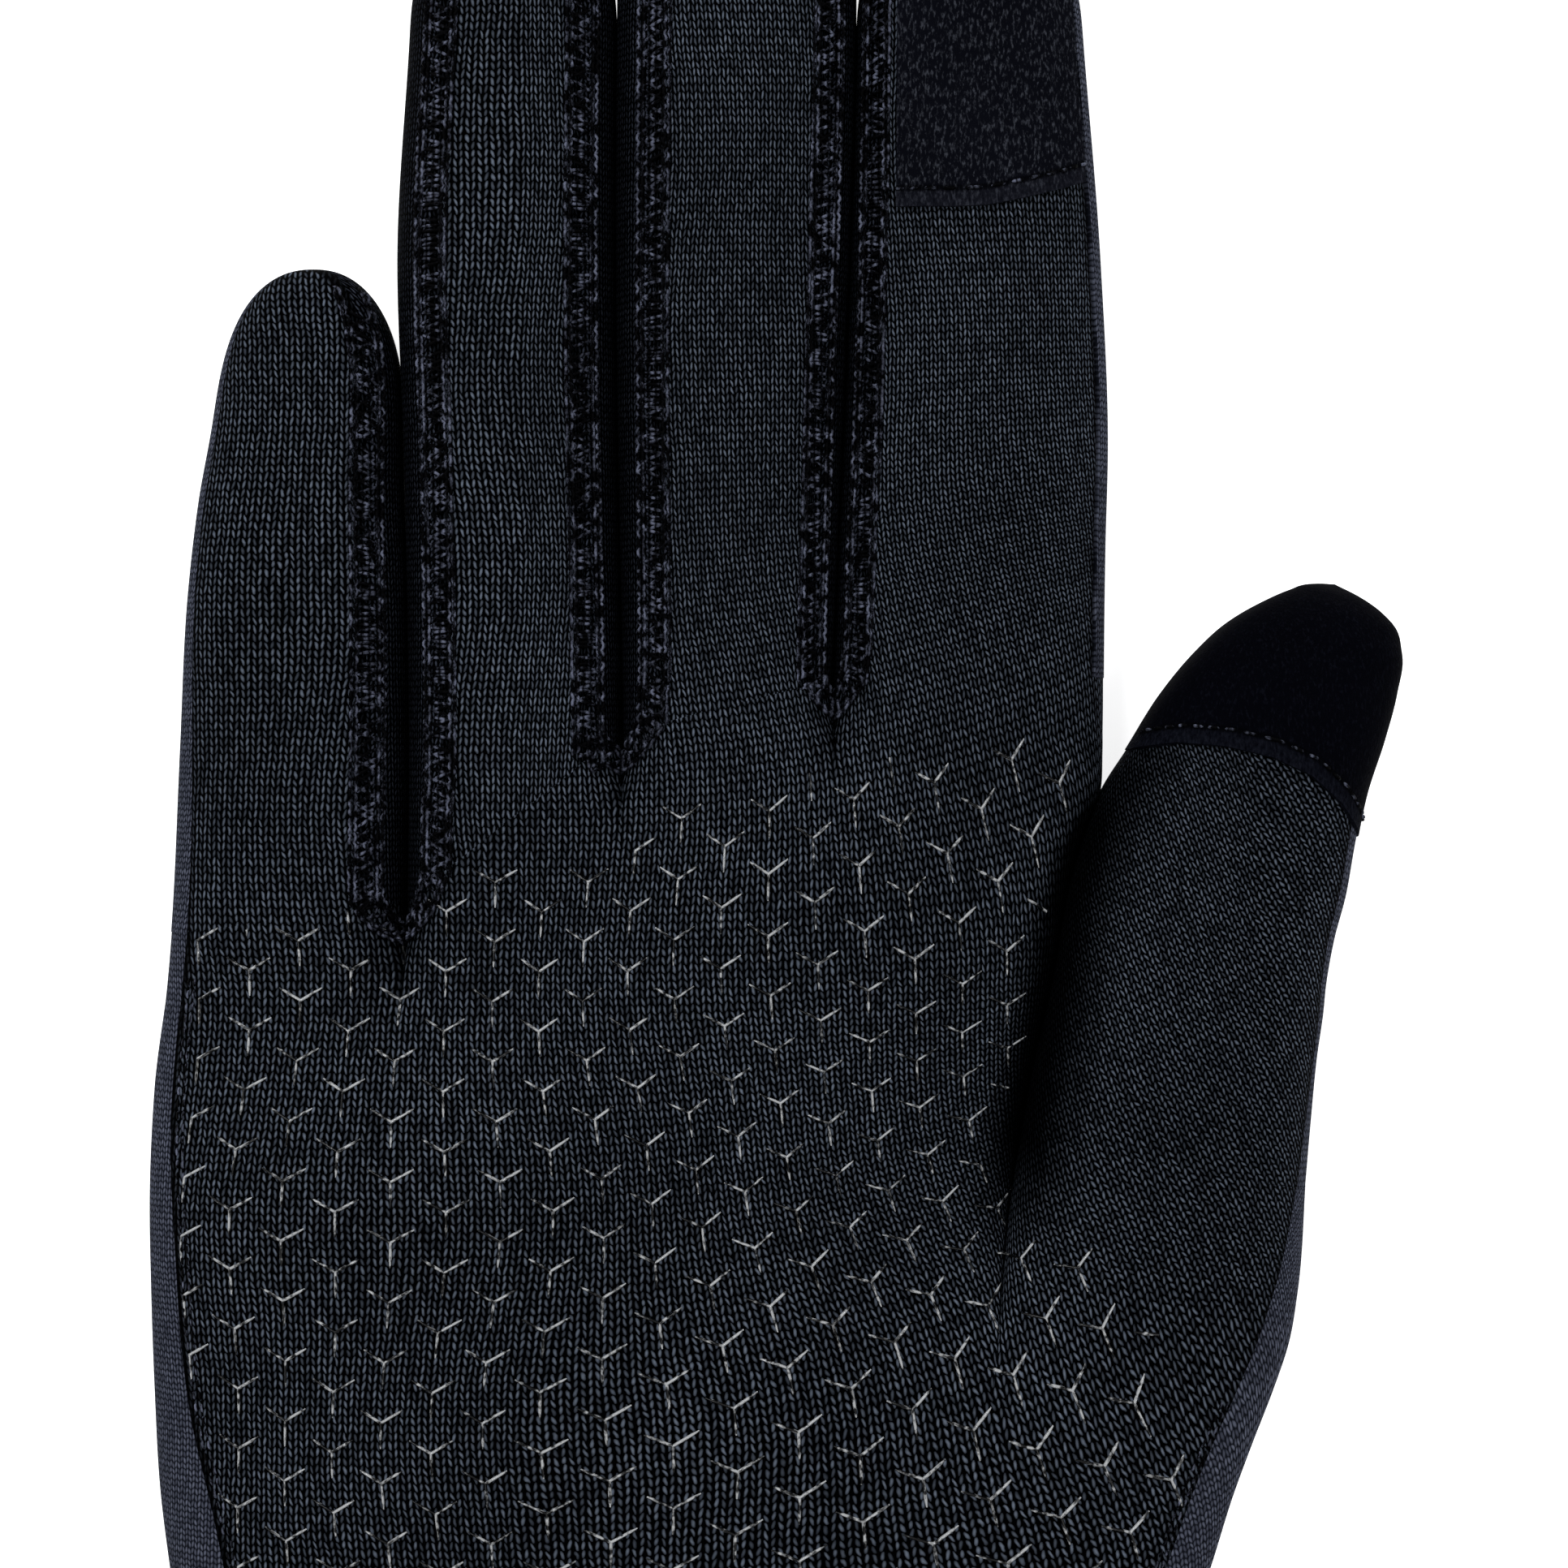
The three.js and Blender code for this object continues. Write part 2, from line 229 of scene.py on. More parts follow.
class Made:
    def __init__(self, name):
        self.material = bpy.data.materials.new(name)
        self.material.use_nodes = True
        self.tree = self.material.node_tree
        self.shader = self.tree.nodes["Principled BSDF"]

    def node(self, kind, settings, inputs, output=0):
        made = self.tree.nodes.new(kind)
        for key, value in settings.items():
            setattr(made, key, value)
        for key, value in inputs.items():
            self.put(made.inputs[key], value)
        return Sock(self, made.outputs[output])

    def put(self, socket, value):
        if isinstance(value, Sock):
            self.tree.links.new(value.socket, socket)
        elif isinstance(value, tuple) and len(value) == 3 and socket.type == "RGBA":
            socket.default_value = (*value, 1)
        else:
            socket.default_value = value

    def uv(self):
        # The cloth's own directions in millimetres: across the wales and along them.
        return self.xy(self.node("ShaderNodeUVMap", {"uv_map": "cloth"}, {}))

    def xy(self, vector):
        x = self.node("ShaderNodeSeparateXYZ", {}, {0: vector})
        return x, Sock(self, x.socket.node.outputs[1])

    def place(self):
        return self.node("ShaderNodeTexCoord", {}, {}, "Object")

    def tone(self):
        # Reads the painted shade map: 1 in the open, down to 0 in deep creases.
        return self.node("ShaderNodeAttribute", {"attribute_name": "tone"}, {}, "Fac")

    def noise(self, scale, detail=2.0, vector=None, rough=0.5):
        return self.node("ShaderNodeTexNoise", {}, {"Vector": vector or self.place(), "Scale": scale,
                         "Detail": detail, "Roughness": rough}, 0)

    def blend(self, share, first, second):
        return self.node("ShaderNodeMix", {"data_type": "RGBA"}, {0: share, 6: first, 7: second}, 2)

    def bump(self, height, distance, strength=1.0):
        return self.node("ShaderNodeBump", {}, {"Height": height, "Distance": distance, "Strength": strength})

    def finish(self, **sockets):
        for key, value in sockets.items():
            self.put(self.shader.inputs[key.replace("_", " ")], value)
        return self.material


# materials
# The tip colour is a painted highlight on each stitch leg's top.
knitSetup = {
    "leg": 0.57, "course": 0.78, "slant": 0.42, "width": 0.31, "length": 0.56, "gloss": 0.005,
    "gapColour": (0.0001, 0.0001, 0.0002), "legColour": (0.0016, 0.0020, 0.0030), "tipHighlight": (0.125, 0.150, 0.195),
}


def knitMaterial(name, setup, scale=1.0, lift=1.0, depth=0.12):
    # Columns of slanted stitch legs: column n leans one way, column n+1 the other, so pairs form a V.
    # leg = 1 - (place across / width)^2 - (place along / length)^2, place across being sheared by the leg's own lean.
    m = Made(name)
    u, v = m.uv()
    wander = m.noise(320.0, 2.0) - 0.5
    jitter = m.noise(1250.0, 1.0) - 0.5
    column = u / (setup["leg"] * scale) + wander * 0.7 + jitter * 0.30
    side = column.floor()
    lean = (side * 0.5).fract() * 4 - 1  # -1 or 1 in turn
    along = v / (setup["course"] * scale) + wander * 0.5 + jitter * 0.5 + lean * 0.08
    row = along.floor()
    stitch = along.fract() - 0.5
    cell = m.node("ShaderNodeCombineXYZ", {}, {0: side, 1: row})
    own = m.node("ShaderNodeTexWhiteNoise", {"noise_dimensions": "2D"}, {"Vector": cell})  # one number for each stitch
    across = column.fract() - 0.5 + (lean * 0.75 + 0.35 * own) * stitch * setup["slant"]
    leg = (1 - (across / setup["width"]) ** 2 - (stitch / setup["length"]) ** 2).clamp()
    broad = m.noise(48.0, 3.0)
    # The tone attribute is painted shade: it darkens the gaps, the legs and the painted highlights.
    tone = m.tone()
    # The painted highlight's share at each leg's top, varied stitch by stitch.
    highlightShare = (leg ** 1.3) * (0.25 + 0.6 * own) * (0.45 + 1.0 * broad) * lift
    gap = m.blend(tone, (0.0001, 0.0001, 0.0002), setup["gapColour"])
    body = m.blend((leg * tone * 2).clamp(), gap, setup["legColour"])
    colour = m.blend((highlightShare * tone).clamp(), body, setup["tipHighlight"])
    return m.finish(Base_Color=colour, Roughness=0.8 - 0.1 * leg, Normal=m.bump(leg, depth / 1000, 0.8),
                    Specular_IOR_Level=setup["gloss"])


knit = knitMaterial("stretchKnit", knitSetup)
# The fourchettes' knit, with a dimmer painted highlight on its legs.
seamKnit = knitMaterial("fourchetteKnit", {**knitSetup, "tipHighlight": (0.085, 0.100, 0.140)}, scale=0.8)
# The back's knit: lighter between the legs, with its own painted highlight on the legs' tops.
sideSetup = {**knitSetup, "gapColour": (0.0045, 0.0053, 0.0082), "legColour": (0.012, 0.014, 0.022),
             "tipHighlight": (0.125, 0.138, 0.190), "width": 0.45}
sideKnit = knitMaterial("backKnit", sideSetup, scale=0.74, lift=0.9, depth=0.09)
cuffKnit = knitMaterial("cuffKnit", knitSetup, scale=0.9)
# The lining's knit, with a faint painted highlight on its legs.
insideSetup = {**knitSetup, "legColour": (0.010, 0.011, 0.015), "tipHighlight": (0.03, 0.034, 0.042)}
insideKnit = knitMaterial("brushedLining", insideSetup, scale=0.8, depth=0.06)


def suedeMaterial(name, base, fibre, share, hem):
    # A brushed nap: short flecks, longer along the finger, over broad tone changes. v is the distance from the hem.
    m = Made(name)
    _, fromHem = m.uv()
    stretched = m.node("ShaderNodeMapping", {}, {"Vector": m.place(), "Scale": (1.0, 0.38, 1.0)})
    fleck = m.noise(3900.0, 2.0, stretched, 0.6)
    fine = m.noise(4600.0, 2.0)
    tone = m.noise(70.0, 3.0)
    nap = (((fleck - 0.49) * 5.5).clamp() ** 1.7) * (0.2 + 1.3 * fine) * share
    edge = (1 - fromHem / 1.9).clamp()  # the turned hem, a little lighter and fuzzier
    colour = m.blend(nap.clamp(), m.blend(tone, tuple(c * 0.5 for c in base), base), fibre)
    colour = m.blend((edge ** 0.3) * (fleck * 2.2 - 0.6).clamp() * 0.75, colour, hem)
    fromRow = (fromHem - 1.75) * 2.4  # the stitched row is pressed into the nap
    # Painted shade: a near-black line in the stitched row's groove.
    colour = m.blend((1 - fromRow * fromRow).clamp() * 0.8, colour, (0.0002, 0.0002, 0.0005))
    return m.finish(Base_Color=colour, Roughness=0.95 - 0.1 * fleck, Normal=m.bump(fleck + 0.4 * fine, 0.0002, 0.8),
                    Specular_IOR_Level=0.01)


suede = suedeMaterial("conductiveSuede", (0.0028, 0.0031, 0.0055), (0.060, 0.066, 0.084), 0.5, (0.012, 0.013, 0.019))
darkSuede = suedeMaterial("conductiveSuedeDark", (0.0009, 0.0010, 0.0024), (0.008, 0.009, 0.015), 0.25,
                          (0.007, 0.008, 0.013))


def threadMaterial(name, dark, light):
    # Twisted thread: thin slanted bands from the object's own place; the light bands are painted highlights on the
    # twist, dimmed by the painted shade in the tone attribute.
    m = Made(name)
    x, _ = m.xy(m.place())
    twist = m.noise(2600.0, 2.0, rough=0.6)
    wave = ((x * 9000 + twist * 6).sin() * 0.5 + 0.5)
    tone = m.noise(240.0, 2.0)
    strand = ((m.noise(900.0, 2.0) - 0.45) * 4.5).clamp()
    # Painted highlight on the twist's bands, dimmed by the painted shade map.
    colour = m.blend((wave * tone * strand * 2.4 * m.tone()).clamp(), dark, light)
    return m.finish(Base_Color=colour, Roughness=0.6 + 0.2 * twist, Normal=m.bump(wave, 0.00008, 0.8),
                    Specular_IOR_Level=0.03)


# The light colour is the thread's painted highlight.
thread = threadMaterial("seamThread", (0.0003, 0.0003, 0.0007), (0.105, 0.116, 0.165))


def siliconeMaterial():
    # Clear beads with painted glints: painted arm by arm, and broken along each arm. v holds the arm's painted glint
    # brightness.
    m = Made("siliconePrint")
    _, paintedGlint = m.uv()
    brokenGlint = ((m.noise(1350.0, 2.0) - 0.5) * 6 + paintedGlint).clamp()
    # The light colour is a painted glint on the bead.
    colour = m.blend(brokenGlint ** 1.5, (0.0006, 0.0008, 0.0012), (0.36, 0.37, 0.38))
    return m.finish(Base_Color=colour, Roughness=0.12 + 0.2 * (1 - brokenGlint), Normal=m.bump(brokenGlint, 0.00006, 0.5),
                    Specular_IOR_Level=0.25)


silicone = siliconeMaterial()


def labelMaterial():
    # Woven tape: fine warp and weft lines.
    m = Made("labelTape")
    x, y = m.xy(m.place())
    weave = (x * 12000).sin() * (y * 12000).sin()
    colour = m.blend((weave * 0.5 + 0.5).clamp(), (0.50, 0.50, 0.48), (0.66, 0.66, 0.64))
    return m.finish(Base_Color=colour, Roughness=0.7 - 0.1 * m.noise(300.0), Normal=m.bump(weave, 0.00005, 0.6))


labelTape = labelMaterial()


def floorMaterial():
    m = Made("paleFloor")
    tone = m.noise(6.0, 2.0)
    return m.finish(Base_Color=m.blend(tone, (0.93, 0.93, 0.93), (0.96, 0.96, 0.96)), Roughness=0.9 - 0.05 * tone,
                    Specular_IOR_Level=0.1, Emission_Color=(1, 1, 1, 1), Emission_Strength=0.8)


print("materials ready")

# the hand's outline and thickness
# Each row: distance along the hand, then values. The outline is that of the worn glove.
handTable = {
    "left": [(-132, -39.2), (-108, -38), (-92, -38), (-78, -40.3), (-64, -43.8), (-50, -46), (-41.6, -47.1),
             (-32, -47.7),
             (-22.4, -48.1), (-12.8, -48.3), (-3.2, -48.0), (6.4, -47.2), (16, -46.6), (28, -46.5)],
    "right": [(-132, 38), (-108, 37), (-92, 37.5), (-78, 41.8), (-64, 48.2), (-50, 54.3), (-41.6, 57), (-36.8, 58.8),
              (-32, 60.7), (-27.2, 62.3), (-22.4, 63.1), (-12.2, 63.9), (0, 64.9)],
    "crease": [(-90, 26), (-50, 30.5), (-30, 33), (-14, 35), (-6.6, 36.3), (0, 37.6), (5.6, 39), (10.4, 40), (15, 40.8),
               (20, 42.1), (26, 44.4), (30, 44.6), (40, 44.75)],
    "tall": [(-132, 17), (-110, 16.6), (-92, 16), (-78, 15.8), (-50, 15.2), (-22, 14.4), (-10, 13.8), (-6.6, 13.5),
             (0, 12.9),
             (10, 11.6), (20, 10.4), (28, 9.7), (42, 9.0)],
    "seamLeft": [(-132, 10), (-86, 9.5), (-64, 8), (-49.3, 6.6), (-42.4, 6), (-33.2, 4.3), (-26.3, 3.6), (-18.3, 3.3),
                 (-6.6, 2.6), (19.4, 2.2), (40, 1.3), (80, 0.7)],
    "seamRight": [(-132, 10), (-86, 9.5), (-64, 6.8), (-46.7, 5.2), (-34.8, 4.6), (-26.7, 3.9), (-20, 2.8),
                  (-11.3, 1.5), (0, 0.7)],
}
valleys = [  # lines down the palm from the three crotches
    [(-90, -20), (-50, -22.5), (15.2, -23.5), (20, -23.5)],
    [(-90, -6), (-50, -4), (31.6, -2.5), (36, -2.5)],
    [(-90, 9), (-50, 13), (36.8, 18.2), (40, 18.2)],
]
crotches = [(-60, 10.5), (-23.5, 15.2), (-2.5, 31.6), (18.2, 36.8), (60, 37.3)]  # x and y of the fingers' roots
sink = 0.8
slit = -6.6  # the thumb stands free of the palm beyond this
wrist = -86

# Per finger: rows of y, centre x, half width, half height; and the tip.
fingers = {
    "little": {"rows": [(-6, -35.6, 12.2, 12.5), (15.2, -35.05, 11.55, 9.6), (30, -34.85, 11.3, 8.3),
                        (46, -34.6, 10.8, 7.8),
                        (54, -34.35, 10.15, 7.6), (64, -33.6, 9.25, 7.3), (78, -33.2, 9.0, 7.1)],
               "tip": 77.7, "round": 15, "seams": {"outer": 3.4}, "side": "left"},
    "ring": {"rows": [(8, -13, 10.5, 11), (31.6, -13.0, 10.5, 9.4), (40, -13.15, 10.5, 8.8), (60, -13.6, 10.5, 8.5),
                      (78, -14.0, 10.75, 8.4), (103, -13.35, 10.1, 8.0), (116, -13.2, 9.9, 7.8)],
             "tip": 116, "round": 14.5, "seams": {"inner": 3.5, "outer": 3.1}},
    "middle": {"rows": [(18, 7.85, 10.35, 10.4), (36.8, 7.85, 10.35, 9.4), (50, 7.95, 10.75, 8.9),
                        (70, 8.15, 11.3, 8.8),
                        (103, 8.65, 11.75, 8.4), (122, 8.7, 11.4, 8.1)],
               "tip": 121.6, "round": 15, "seams": {"inner": 3.6, "outer": 2.5}},
    "index": {"rows": [(18, 31.4, 13.2, 10.2), (38, 31.45, 13.25, 9.3), (50, 31.75, 13.15, 8.8), (60, 32.15, 13.0, 8.7),
                       (78, 32.15, 12.3, 8.5), (103, 31.55, 11.0, 8.1), (116, 31.3, 10.5, 7.9)],
              "tip": 115.4, "round": 14.5, "seams": {"inner": 2.1}, "side": "right"},
}
for name, finger in fingers.items():
    tipNodes = frame["record"]["behaviour"]["bodies"][name + "_tip"]
    finger["tip"] = min(finger["tip"], max(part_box(node)[1].y for node in tipNodes) * 1000 + 0.5)
    finger["hinges"] = [hinges[name + part]["pos_m"][1] * 1000 for part in ("_knuckle", "_joint")]
    finger["middle"] = sum(finger["hinges"]) / 2


def fingerAt(finger, y):  # centre, half width, half height and level of a finger's section at y
    centre, half, tall = through(finger["rows"], y)
    return centre, half, tall, tall - sink


def crotchLine(x):
    xs, ys = zip(*crotches)
    return np.interp(x, xs, ys)


# cloth directions
def grainTurn(x):  # tangent of the wales' lean, 0 on the little finger's side, growing towards the thumb
    return 0.52 * np.clip((x + 12) / 64, 0, 1.1)


# How much of the lean shows at each distance along the hand, and its sum from there.
leanRows = [(-140, 0), (-85, 0.1), (-60, 0.3), (-41, 0.5), (-15, 1), (-5, 0.7), (8, 0.2), (20, 0.4), (32, 0.75),
            (42, 0.85),
            (55, 0.45), (75, 0.1), (100, 0), (140, 0)]
leanY = np.linspace(-140, 140, 561)
leanShare = through(leanRows, leanY)
leanSum = np.concatenate([[0], np.cumsum((leanShare[1:] + leanShare[:-1]) / 2 * 0.5)])
leanSum -= np.interp(-15, leanY, leanSum)


def cloth(x, y, thumb=0.0):
    # Unrolled place (x, y) to cloth directions (across the wales, along them):
    # across = x + lean(x) * sum of the share; along = y - share * integral of lean(x), with slow drifts of both.
    share = mix(np.interp(y, leanY, leanShare), 1.0, thumb)
    total = mix(np.interp(y, leanY, leanSum), np.clip(y + 15, -60, 80), thumb)
    drift = 0.5 * np.sin(y / 8.5 + x / 13 + 0.6) + 0.35 * np.sin(y / 5.1 - x / 9)
    across = x + grainTurn(x) * total + drift * (1 - thumb)
    xs = np.clip(x + 12, 0, 66)
    along = y - share * 0.52 * (xs * xs / 128 + np.clip(x - 54, 0, 100))
    return np.stack([across, along], -1)


# Extra cloth that a rounded section holds beyond its width: arc length minus distance, by place across.
arcTurn = np.linspace(-math.pi / 2, math.pi / 2, 4001)


def extraCloth(across, half, tall, exponent):
    xs = power(np.sin(arcTurn), 2 / exponent)
    zs = np.abs(np.cos(arcTurn)) ** (2 / exponent) * (tall / half)
    arc = np.concatenate([[0], np.cumsum(np.hypot(np.diff(xs), np.diff(zs)))])
    arc -= np.interp(0, xs, arc)
    return half * (np.interp(across, xs, arc) - across)


# palm and back
def palmParts(x, y, sign):
    # Height of the palm (sign 1) or the back (sign -1) left of the thumb's crease.
    # height = level + sign * half height * dome(place across), for three shapes that melt into each other:
    # the fingers' roots, the palm up to the crease, and the whole hand with the ball of the thumb.
    left, right = through(handTable["left"], y), through(handTable["right"], np.minimum(y, 0))
    crease, tall = through(handTable["crease"], y), through(handTable["tall"], y)
    level = tall - sink
    narrow = (2 * x - left - crease) / (crease - left)
    wide = (2 * x - left - right) / (right - left)
    merged = smooth((slit - y) / 24)
    z = level + sign * tall * mix(dome(narrow), dome(wide), merged)
    if sign > 0:
        z = z + palmRelief(x, y)
    extra = mix(extraCloth(narrow, 42, 13, 2.6), extraCloth(wide, 53, 15, 2.6), merged)
    below = crotchLine(x) - y
    melt = smooth(below / 15)
    fingerZ, fingerExtra = np.zeros_like(z), np.zeros_like(z)
    for i, finger in enumerate(fingers.values()):
        low = -99 if i == 0 else through(valleys[i - 1], y)
        high = 99 if i == 3 else through(valleys[i], y)
        centre, half, tallF, levelF = fingerAt(finger, y)
        across = (x - centre) / half
        here = (x >= low) & (x < high) if i < 3 else x >= low
        fingerZ = np.where(here, levelF + sign * tallF * dome(across, 2.4), fingerZ)
        fingerExtra = np.where(here, extraCloth(across, 11, 8.6, 2.4), fingerExtra)
    z = mix(fingerZ, z, melt)
    return z, x + mix(fingerExtra, extra, smooth(below / 7))


def palmRelief(x, y):
    # The hollow of the palm, the pads under the fingers, and the ball of the thumb.
    def hump(cx, cy, rx, ry):
        return np.exp(-(((x - cx) / rx) ** 2) - ((y - cy) / ry) ** 2)

    relief = -2.4 * hump(4, -22, 17, 24) + 0.8 * hump(-30, -30, 14, 26) + 0.6 * hump(8, 14, 26, 9)
    relief += 1.2 * hump(46, -30, 13, 22)
    # soft folds that run from the thumb's crease into the palm
    fold = np.sin((y + 0.55 * x + 12) * 0.62) * hump(30, -16, 13, 9) * 0.28
    fold += np.sin((x * 0.9 + y * 0.5) * 0.9) * hump(-21, 8, 8, 6) * 0.16
    return relief + fold


def crossSteps(count, clustering=0.75):  # 0 to 1, closer together at both ends
    t = np.linspace(0, 1, count)
    return mix(t, (1 - np.cos(math.pi * t)) / 2, clustering)


def palmGrid(sign, startAtSeam, rows=150, counts=(46, 44, 44, 52)):
    # Rows run from the fingers' roots down to the wrist, columns from the left side to the thumb's crease.
    down = np.linspace(0, 1, rows)
    down = (0.7 * down + 0.3 * down**2)[:, None]
    fractions = [crossSteps(n) for n in counts]
    tops = [-46.6 + 2.25 * startAtSeam, -23.5, -2.5, 18.2, 44.7]
    topX = np.concatenate([mix(tops[i], tops[i + 1], f)[(i > 0):] for i, f in enumerate(fractions)])[None, :]
    y = mix(crotchLine(topX), wrist, down)
    left = through(handTable["left"], y) + startAtSeam * through(handTable["seamLeft"], y)
    edges = [left] + [through(v, y) for v in valleys] + [through(handTable["crease"], y)]
    pieces = []
    for i, f in enumerate(fractions):
        start = sum(len(g) - 1 for g in fractions[:i]) + (i > 0)
        stop = sum(len(g) - 1 for g in fractions[: i + 1]) + 1
        part = slice(start, stop)
        pieces.append(mix(edges[i][:, part], edges[i + 1][:, part], f[(i > 0):][None, :]))
    x = np.concatenate(pieces, 1)
    z, unrolled = palmParts(x, y, sign)
    # Painted shade: dark lines that run on from the gaps between the fingers.
    gapShade = np.ones_like(x)
    for i in range(3):  # dark lines that run on from the gaps between fingers
        cx, cy = crotches[i + 1]
        lean = 0.35 * (cy - y) * (i == 0)
        near = np.exp(-(((x - cx + lean) / 2.4) ** 2) - ((y - cy) / (5.5 if i == 0 else 3.5)) ** 2)
        gapShade = gapShade * (1 - 0.8 * near)
    # Painted shade in the thumb's crease, a dark line along the side seam, and a darker palm hollow near the crease.
    fromCrease = (through(handTable["crease"], y) - x - 1.1) / mix(4.8, 2.2, smooth((y - 8) / 16))
    dark = mix(1, mix(0.04, 1, smooth(fromCrease)), smooth((y - slit + 14) / 14) * smooth((30 - y) / 7))
    fromSeam = x - through(handTable["left"], y) - through(handTable["seamLeft"], y)
    dark = dark * mix(0.04, 1, smooth(fromSeam / 0.8 - 0.25))
    dark = dark * mix(1, 0.80, smooth((5 - y) / 70) * smooth((through(handTable["crease"], y) - x) / 16))
    tone = gapShade * dark if sign > 0 else 1.0
    return np.stack([x, y, grounded(z)], -1), cloth(unrolled, y), tone, sign < 0


def grounded(z):  # nothing sinks below the table
    return np.maximum(z, 0.02)


def thumbRootGrid(sign, right="seam", rows=112, columns=60):
    # Rows start square to the thumb at its root and turn level towards the wrist. Columns from crease to side.
    down = np.linspace(0, 1, rows)[:, None]
    leftY = mix(slit, wrist, down)
    rightY = mix(-12.2, wrist, down)
    leftX, rightX = through(handTable["crease"], leftY), through(handTable["right"], rightY)
    q = crossSteps(columns)[None, :]
    if right in ("seam", "strip"):
        inset = 1 - through(handTable["seamRight"], rightY) / (rightX - leftX)
        q = q * inset if right == "seam" else mix(inset, 1, q)
    x, y = mix(leftX, rightX, q), mix(leftY, rightY, q)
    tallHere = through(handTable["tall"], y)
    tallLeft = through(handTable["tall"], leftY)
    own = tallLeft - sink + sign * tallLeft * dome(2 * q - 1)
    left, rightAll = through(handTable["left"], y), through(handTable["right"], np.minimum(y, 0))
    wide = (2 * x - left - rightAll) / (rightAll - left)
    whole = tallHere - sink + sign * (tallHere * dome(wide) + palmRelief(x, y) * (sign > 0))
    merged = smooth((slit - leftY) / 24)
    z = mix(own, whole, merged)
    extra = mix(extraCloth(2 * q - 1, 14, 13.4, 2.6), extraCloth(wide, 53, 15, 2.6), merged)
    dark = 1.0
    if right == "seam" and sign > 0:  # shade in the crease, and a dark line along the side seam
        dark = mix(1, mix(0.04, 1, smooth((q * 27 - 1.1) / 5.4)), smooth((leftY - slit + 16) / 16))
        # Painted shade along the side seam.
        dark = dark * mix(0.15, 1, smooth((q.max(1, keepdims=True) - q) * 27 / 0.7))
    onThumb = 1 - smooth((slit - leftY) / 18)
    return np.stack([x, y, grounded(z)], -1), cloth(x + extra, y, onThumb), dark, sign < 0


def sideStripGrid(rows, columns=9):
    # The back panel's edge that wraps up over the little finger's side, from the silhouette to the seam.
    down = np.linspace(0, 1, rows)
    down = (0.7 * down + 0.3 * down**2)[:, None]
    inward = crossSteps(columns, 0.5)[None, :] ** 1.6
    y = mix(crotchLine(mix(-46.6, -44.4, inward)), wrist, down)
    x = through(handTable["left"], y) + inward * through(handTable["seamLeft"], y)
    z, unrolled = palmParts(x, y, 1)
    return np.stack([x, y, grounded(z)], -1), cloth(unrolled, y), 1.0, False


palm = clothPiece("palmPanel", [palmGrid(1, 1), thumbRootGrid(1)], knit)
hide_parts("palm_panel", "thumb_knuckle_bend")
back = clothPiece("backPanel", [palmGrid(-1, 0, rows=120), sideStripGrid(rows=120), thumbRootGrid(-1, right="edge"),
                  thumbRootGrid(1, right="strip", columns=9)], sideKnit)
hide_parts("back_panel")
for piece in (palm, back):
    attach(piece, "hand")
print("palm and back ready")


fingerRoundness = 2 / 2.4  # exponents of the superellipses
thumbRoundness = 2 / 2.5
cuffRoundness = 2 / 2.6
sideTurn = 0.45  # angle of the side seam's column before it is moved to its place
bendReach = {"base": 7.3, "tip": 8.6}  # half the span on each side of a hinge, in millimetres


# fingers
def fingerPoint(finger, turn, y, grow=0.0):
    # A sleeve's point: centre + half width * cos(turn), level + half height * sin(turn), as a superellipse;
    # towards the tip both shrink as (1 - t^q)^(1/q).
    centre, half, tall, level = fingerAt(finger, y)
    root = crotchLine(centre)
    half = half + 0.06 + grow
    tip = finger["tip"] + grow
    t = np.clip((y - (tip - finger["round"])) / finger["round"], 0, 1)
    shrink = np.clip(1 - t**2.25, 0, 1) ** (1 / 2.25)
    shrinkTall = np.clip(1 - t**2.6, 0, 1) ** (1 / 2.2)
    groove = 1.0
    if grow == 0:
        for seam in finger["seamTurns"]:
            for side in (seam, -seam):
                away = np.abs((turn - side + math.pi) % (2 * math.pi) - math.pi)
                groove = groove - 0.035 * np.exp(-((away / 0.10) ** 2)) * smooth((y - root) / 4)
    x = centre + half * shrink * power(np.cos(turn), fingerRoundness) * groove
    z = level + (tall + grow) * shrinkTall * power(np.sin(turn), fingerRoundness) * groove
    return np.stack([x, y + np.zeros_like(x), grounded(z)], -1)


def seamTurn(finger, inset, side):
    # The angle at which a seam lies, from its distance to the finger's edge.
    half = finger["rows"][3][2]
    turn = math.acos(((half - inset) / half) ** 1.2)
    return turn if side == "outer" else math.pi - turn


for name, finger in fingers.items():
    finger["seamTurns"] = [seamTurn(finger, inset, side) for side, inset in finger["seams"].items()]


def lengthSteps(finger, part, rows):
    # Distances along a finger: from its root to the middle of its first segment, or from there to the tip.
    if part == "base":
        return np.linspace(0, 1, rows)
    start, end, rounding = finger["middle"], finger["tip"], finger["round"]
    straight = np.linspace(start, end - rounding, int(rows * 0.62), endpoint=False)
    tip = end - rounding + rounding * np.sin(np.linspace(0, math.pi / 2, rows - len(straight)))
    return np.concatenate([straight, tip])


def fingerGrid(finger, part, turns, rows):
    turn = np.asarray(turns)[None, :]
    if part == "base":
        centre, half, _, _ = fingerAt(finger, np.array(finger["hinges"][0]))
        rootX = centre + half * power(np.cos(turn), fingerRoundness)
        y = mix(crotchLine(rootX), finger["middle"], np.linspace(0, 1, rows)[:, None])
    else:
        y = lengthSteps(finger, "tip", rows)[:, None] + 0 * turn
    return fingerPoint(finger, sideSeamTurn(finger, turn, y) + 0 * y, y), y


